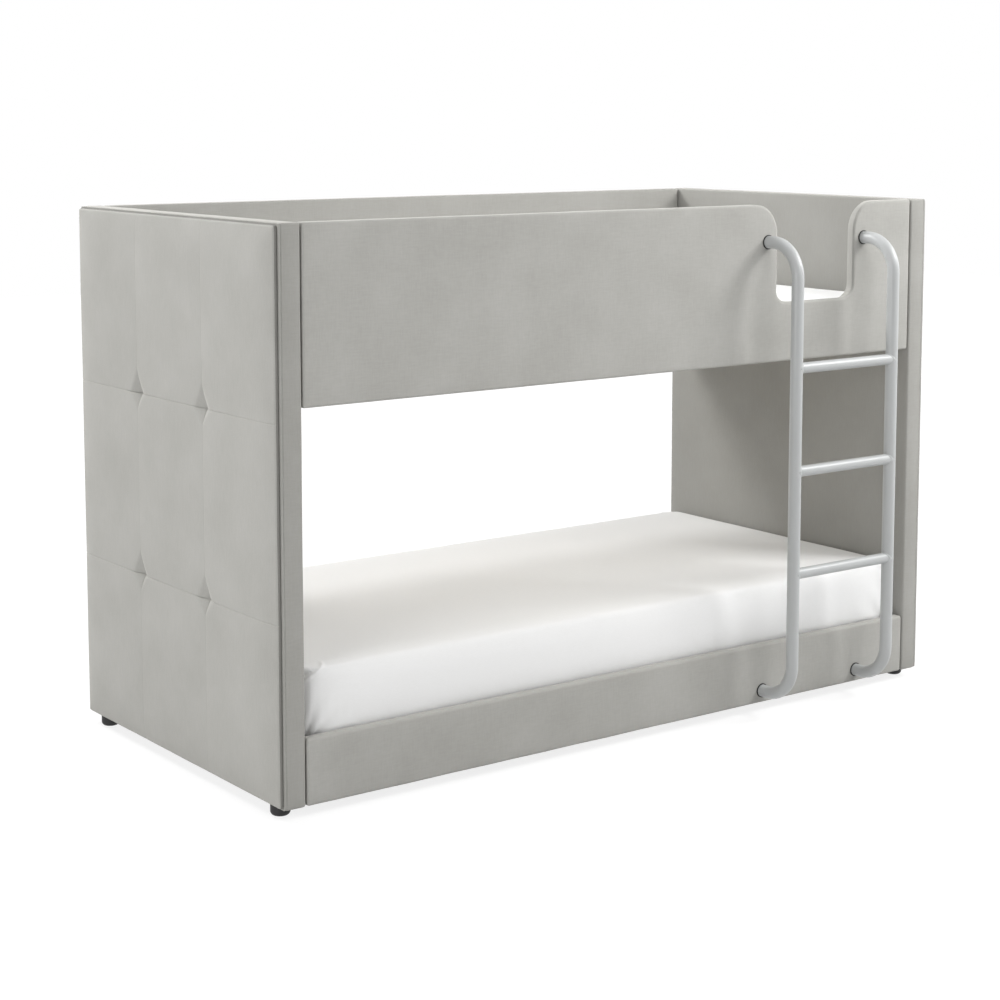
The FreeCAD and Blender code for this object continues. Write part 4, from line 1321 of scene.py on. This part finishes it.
@dataclass
class Studio:
    """Pale floor, soft lamps, white surroundings and the camera."""

    # The picture is 1000 by 1000 pixels: focal length in those pixels, and where it was taken from
    focal_pixels: float = 2086.1
    picture: float = 1000.0
    eye: tuple[float, float, float] = (-3.2947, -4.3115, 1.578)
    yaw: float = 36.453
    pitch: float = 6.351
    shift: float = -0.16
    sensor: float = 36.0
    floor_half: float = 12.0
    # Grey of the floor as the eye sees it and as it lights the bed, and its glow
    floor_paint: float = 0.85
    floor_bounce: float = 0.7
    floor_glow: float = 1.1
    # The paint keeps a share of what the eye sees near the bed, which fades out between two distances
    paint_share: float = 0.25
    paint_fade: tuple[float, float] = (1.5, 4.0)
    ambient: float = 0.2
    target: tuple[float, float, float] = (0.1, -0.2, 0.7)

    def build(self) -> None:
        """Set up everything round the bed."""
        self.camera()
        self.floor()
        self.world()
        for lamp in LAMPS:
            lamp.hang(Vector(self.target))
        bpy.context.scene.view_settings.view_transform = "Standard"

    def camera(self) -> None:
        """Stand the camera where the picture was taken from."""
        data = bpy.data.cameras.new("camera")
        data.sensor_width = self.sensor
        data.lens = self.focal_pixels / self.picture * self.sensor
        data.shift_y = self.shift
        item = put("camera", data)
        yaw, pitch = math.radians(self.yaw), math.radians(self.pitch)
        ahead = Vector((math.sin(yaw) * math.cos(pitch), math.cos(yaw) * math.cos(pitch), -math.sin(pitch)))
        item.location = self.eye
        item.rotation_euler = ahead.to_track_quat("-Z", "Y").to_euler()
        bpy.context.scene.camera = item

    @staticmethod
    def seen(tree: bpy.types.NodeTree) -> bpy.types.NodeSocket:
        """Tell the rays that the eye follows from the rest: from the camera, off gloss or through glass.

        Args:
            tree: node tree that asks.

        Returns:
            1 for such rays and 0 for others.
        """
        path = add_node(tree, "ShaderNodeLightPath")
        first = add_node(tree, "ShaderNodeMath", {
            0: path.outputs["Is Camera Ray"], 1: path.outputs["Is Glossy Ray"]}, operation="MAXIMUM")
        both = add_node(tree, "ShaderNodeMath", {
            0: first.outputs[0], 1: path.outputs["Is Transmission Ray"]}, operation="MAXIMUM")
        return both.outputs[0]

    def floor(self) -> None:
        """Lay a pale floor that looks white and keeps a faint shadow."""
        bm = bmesh.new()
        bmesh.ops.create_grid(bm, x_segments=1, y_segments=1, size=self.floor_half)
        item = put_mesh("floor", bm)
        bm.free()
        material, tree, where = start_material("studio_floor")
        paint, bounce = (
            add_node(tree, "ShaderNodeBsdfDiffuse", {"Color": (grey, grey, grey, 1.0)})
            for grey in (self.floor_paint, self.floor_bounce)
        )
        glow = add_node(tree, "ShaderNodeEmission", {"Color": WHITE, "Strength": self.floor_glow})
        away = add_node(tree, "ShaderNodeVectorMath", {0: where}, operation="LENGTH")
        near, far = self.paint_fade
        share = add_node(tree, "ShaderNodeMapRange", {
            "Value": away.outputs["Value"], "From Min": near, "From Max": far, "To Min": self.paint_share,
            "To Max": 0.0})
        shown = add_node(tree, "ShaderNodeMixShader", {
            0: share.outputs[0], 1: glow.outputs[0], 2: paint.outputs[0]})
        mix = add_node(tree, "ShaderNodeMixShader", {
            0: self.seen(tree), 1: bounce.outputs[0], 2: shown.outputs[0]})
        add_node(tree, "ShaderNodeOutputMaterial", {"Surface": mix.outputs[0]})
        item.data.materials.append(material)

    def world(self) -> None:
        """Surround the bed with white that lights it softly."""
        world = bpy.data.worlds.new("studio")
        world.use_nodes = True
        tree = world.node_tree
        tree.nodes.clear()
        soft, white = (
            add_node(tree, "ShaderNodeBackground", {"Color": WHITE, "Strength": strength})
            for strength in (self.ambient, 1.0)
        )
        mix = add_node(tree, "ShaderNodeMixShader", {
            0: self.seen(tree), 1: soft.outputs[0], 2: white.outputs[0]})
        add_node(tree, "ShaderNodeOutputWorld", {"Surface": mix.outputs[0]})
        bpy.context.scene.world = world


def main() -> None:
    """Build and dress the bed, piece by piece, and set the stage."""
    logging.basicConfig(level=logging.INFO, format="%(message)s")
    finishes = Finishes()
    for end in End:
        EndPanel(end, finishes).build()
    core = finishes.long_birch
    PaddedBoard("front_guard", finishes.velvet, core, wave=0.5 * MM, seed=1.0, cut=True).build()
    # The rear guard wears the darker velvet: painted shade on its inner face
    PaddedBoard("rear_guard", finishes.velvet_down, core, wave=0.5 * MM, seed=2.0).build()
    PaddedBoard("lower_front_rail", finishes.velvet, core, wave=0.9 * MM, seed=5.0).build()
    PaddedBoard("lower_rear_rail", finishes.velvet, core, wave=0.9 * MM, seed=7.0).build()
    # The upper mattress clears the brackets beside it, the lower one leaves room for its sheet's pleats
    # The upper sheet wears the brighter cotton: painted light
    Mattress(Bunk.UPPER, finishes, 55 * MM, 55 * MM, 3.5 * MM, finishes.bleached_cotton).build()
    Mattress(Bunk.LOWER, finishes, 80 * MM, 40 * MM, 7 * MM, finishes.cotton).build()
    Ladder(finishes).build()
    Understructure(finishes).build()
    Studio().build()


if __name__ == "__main__":
    main()
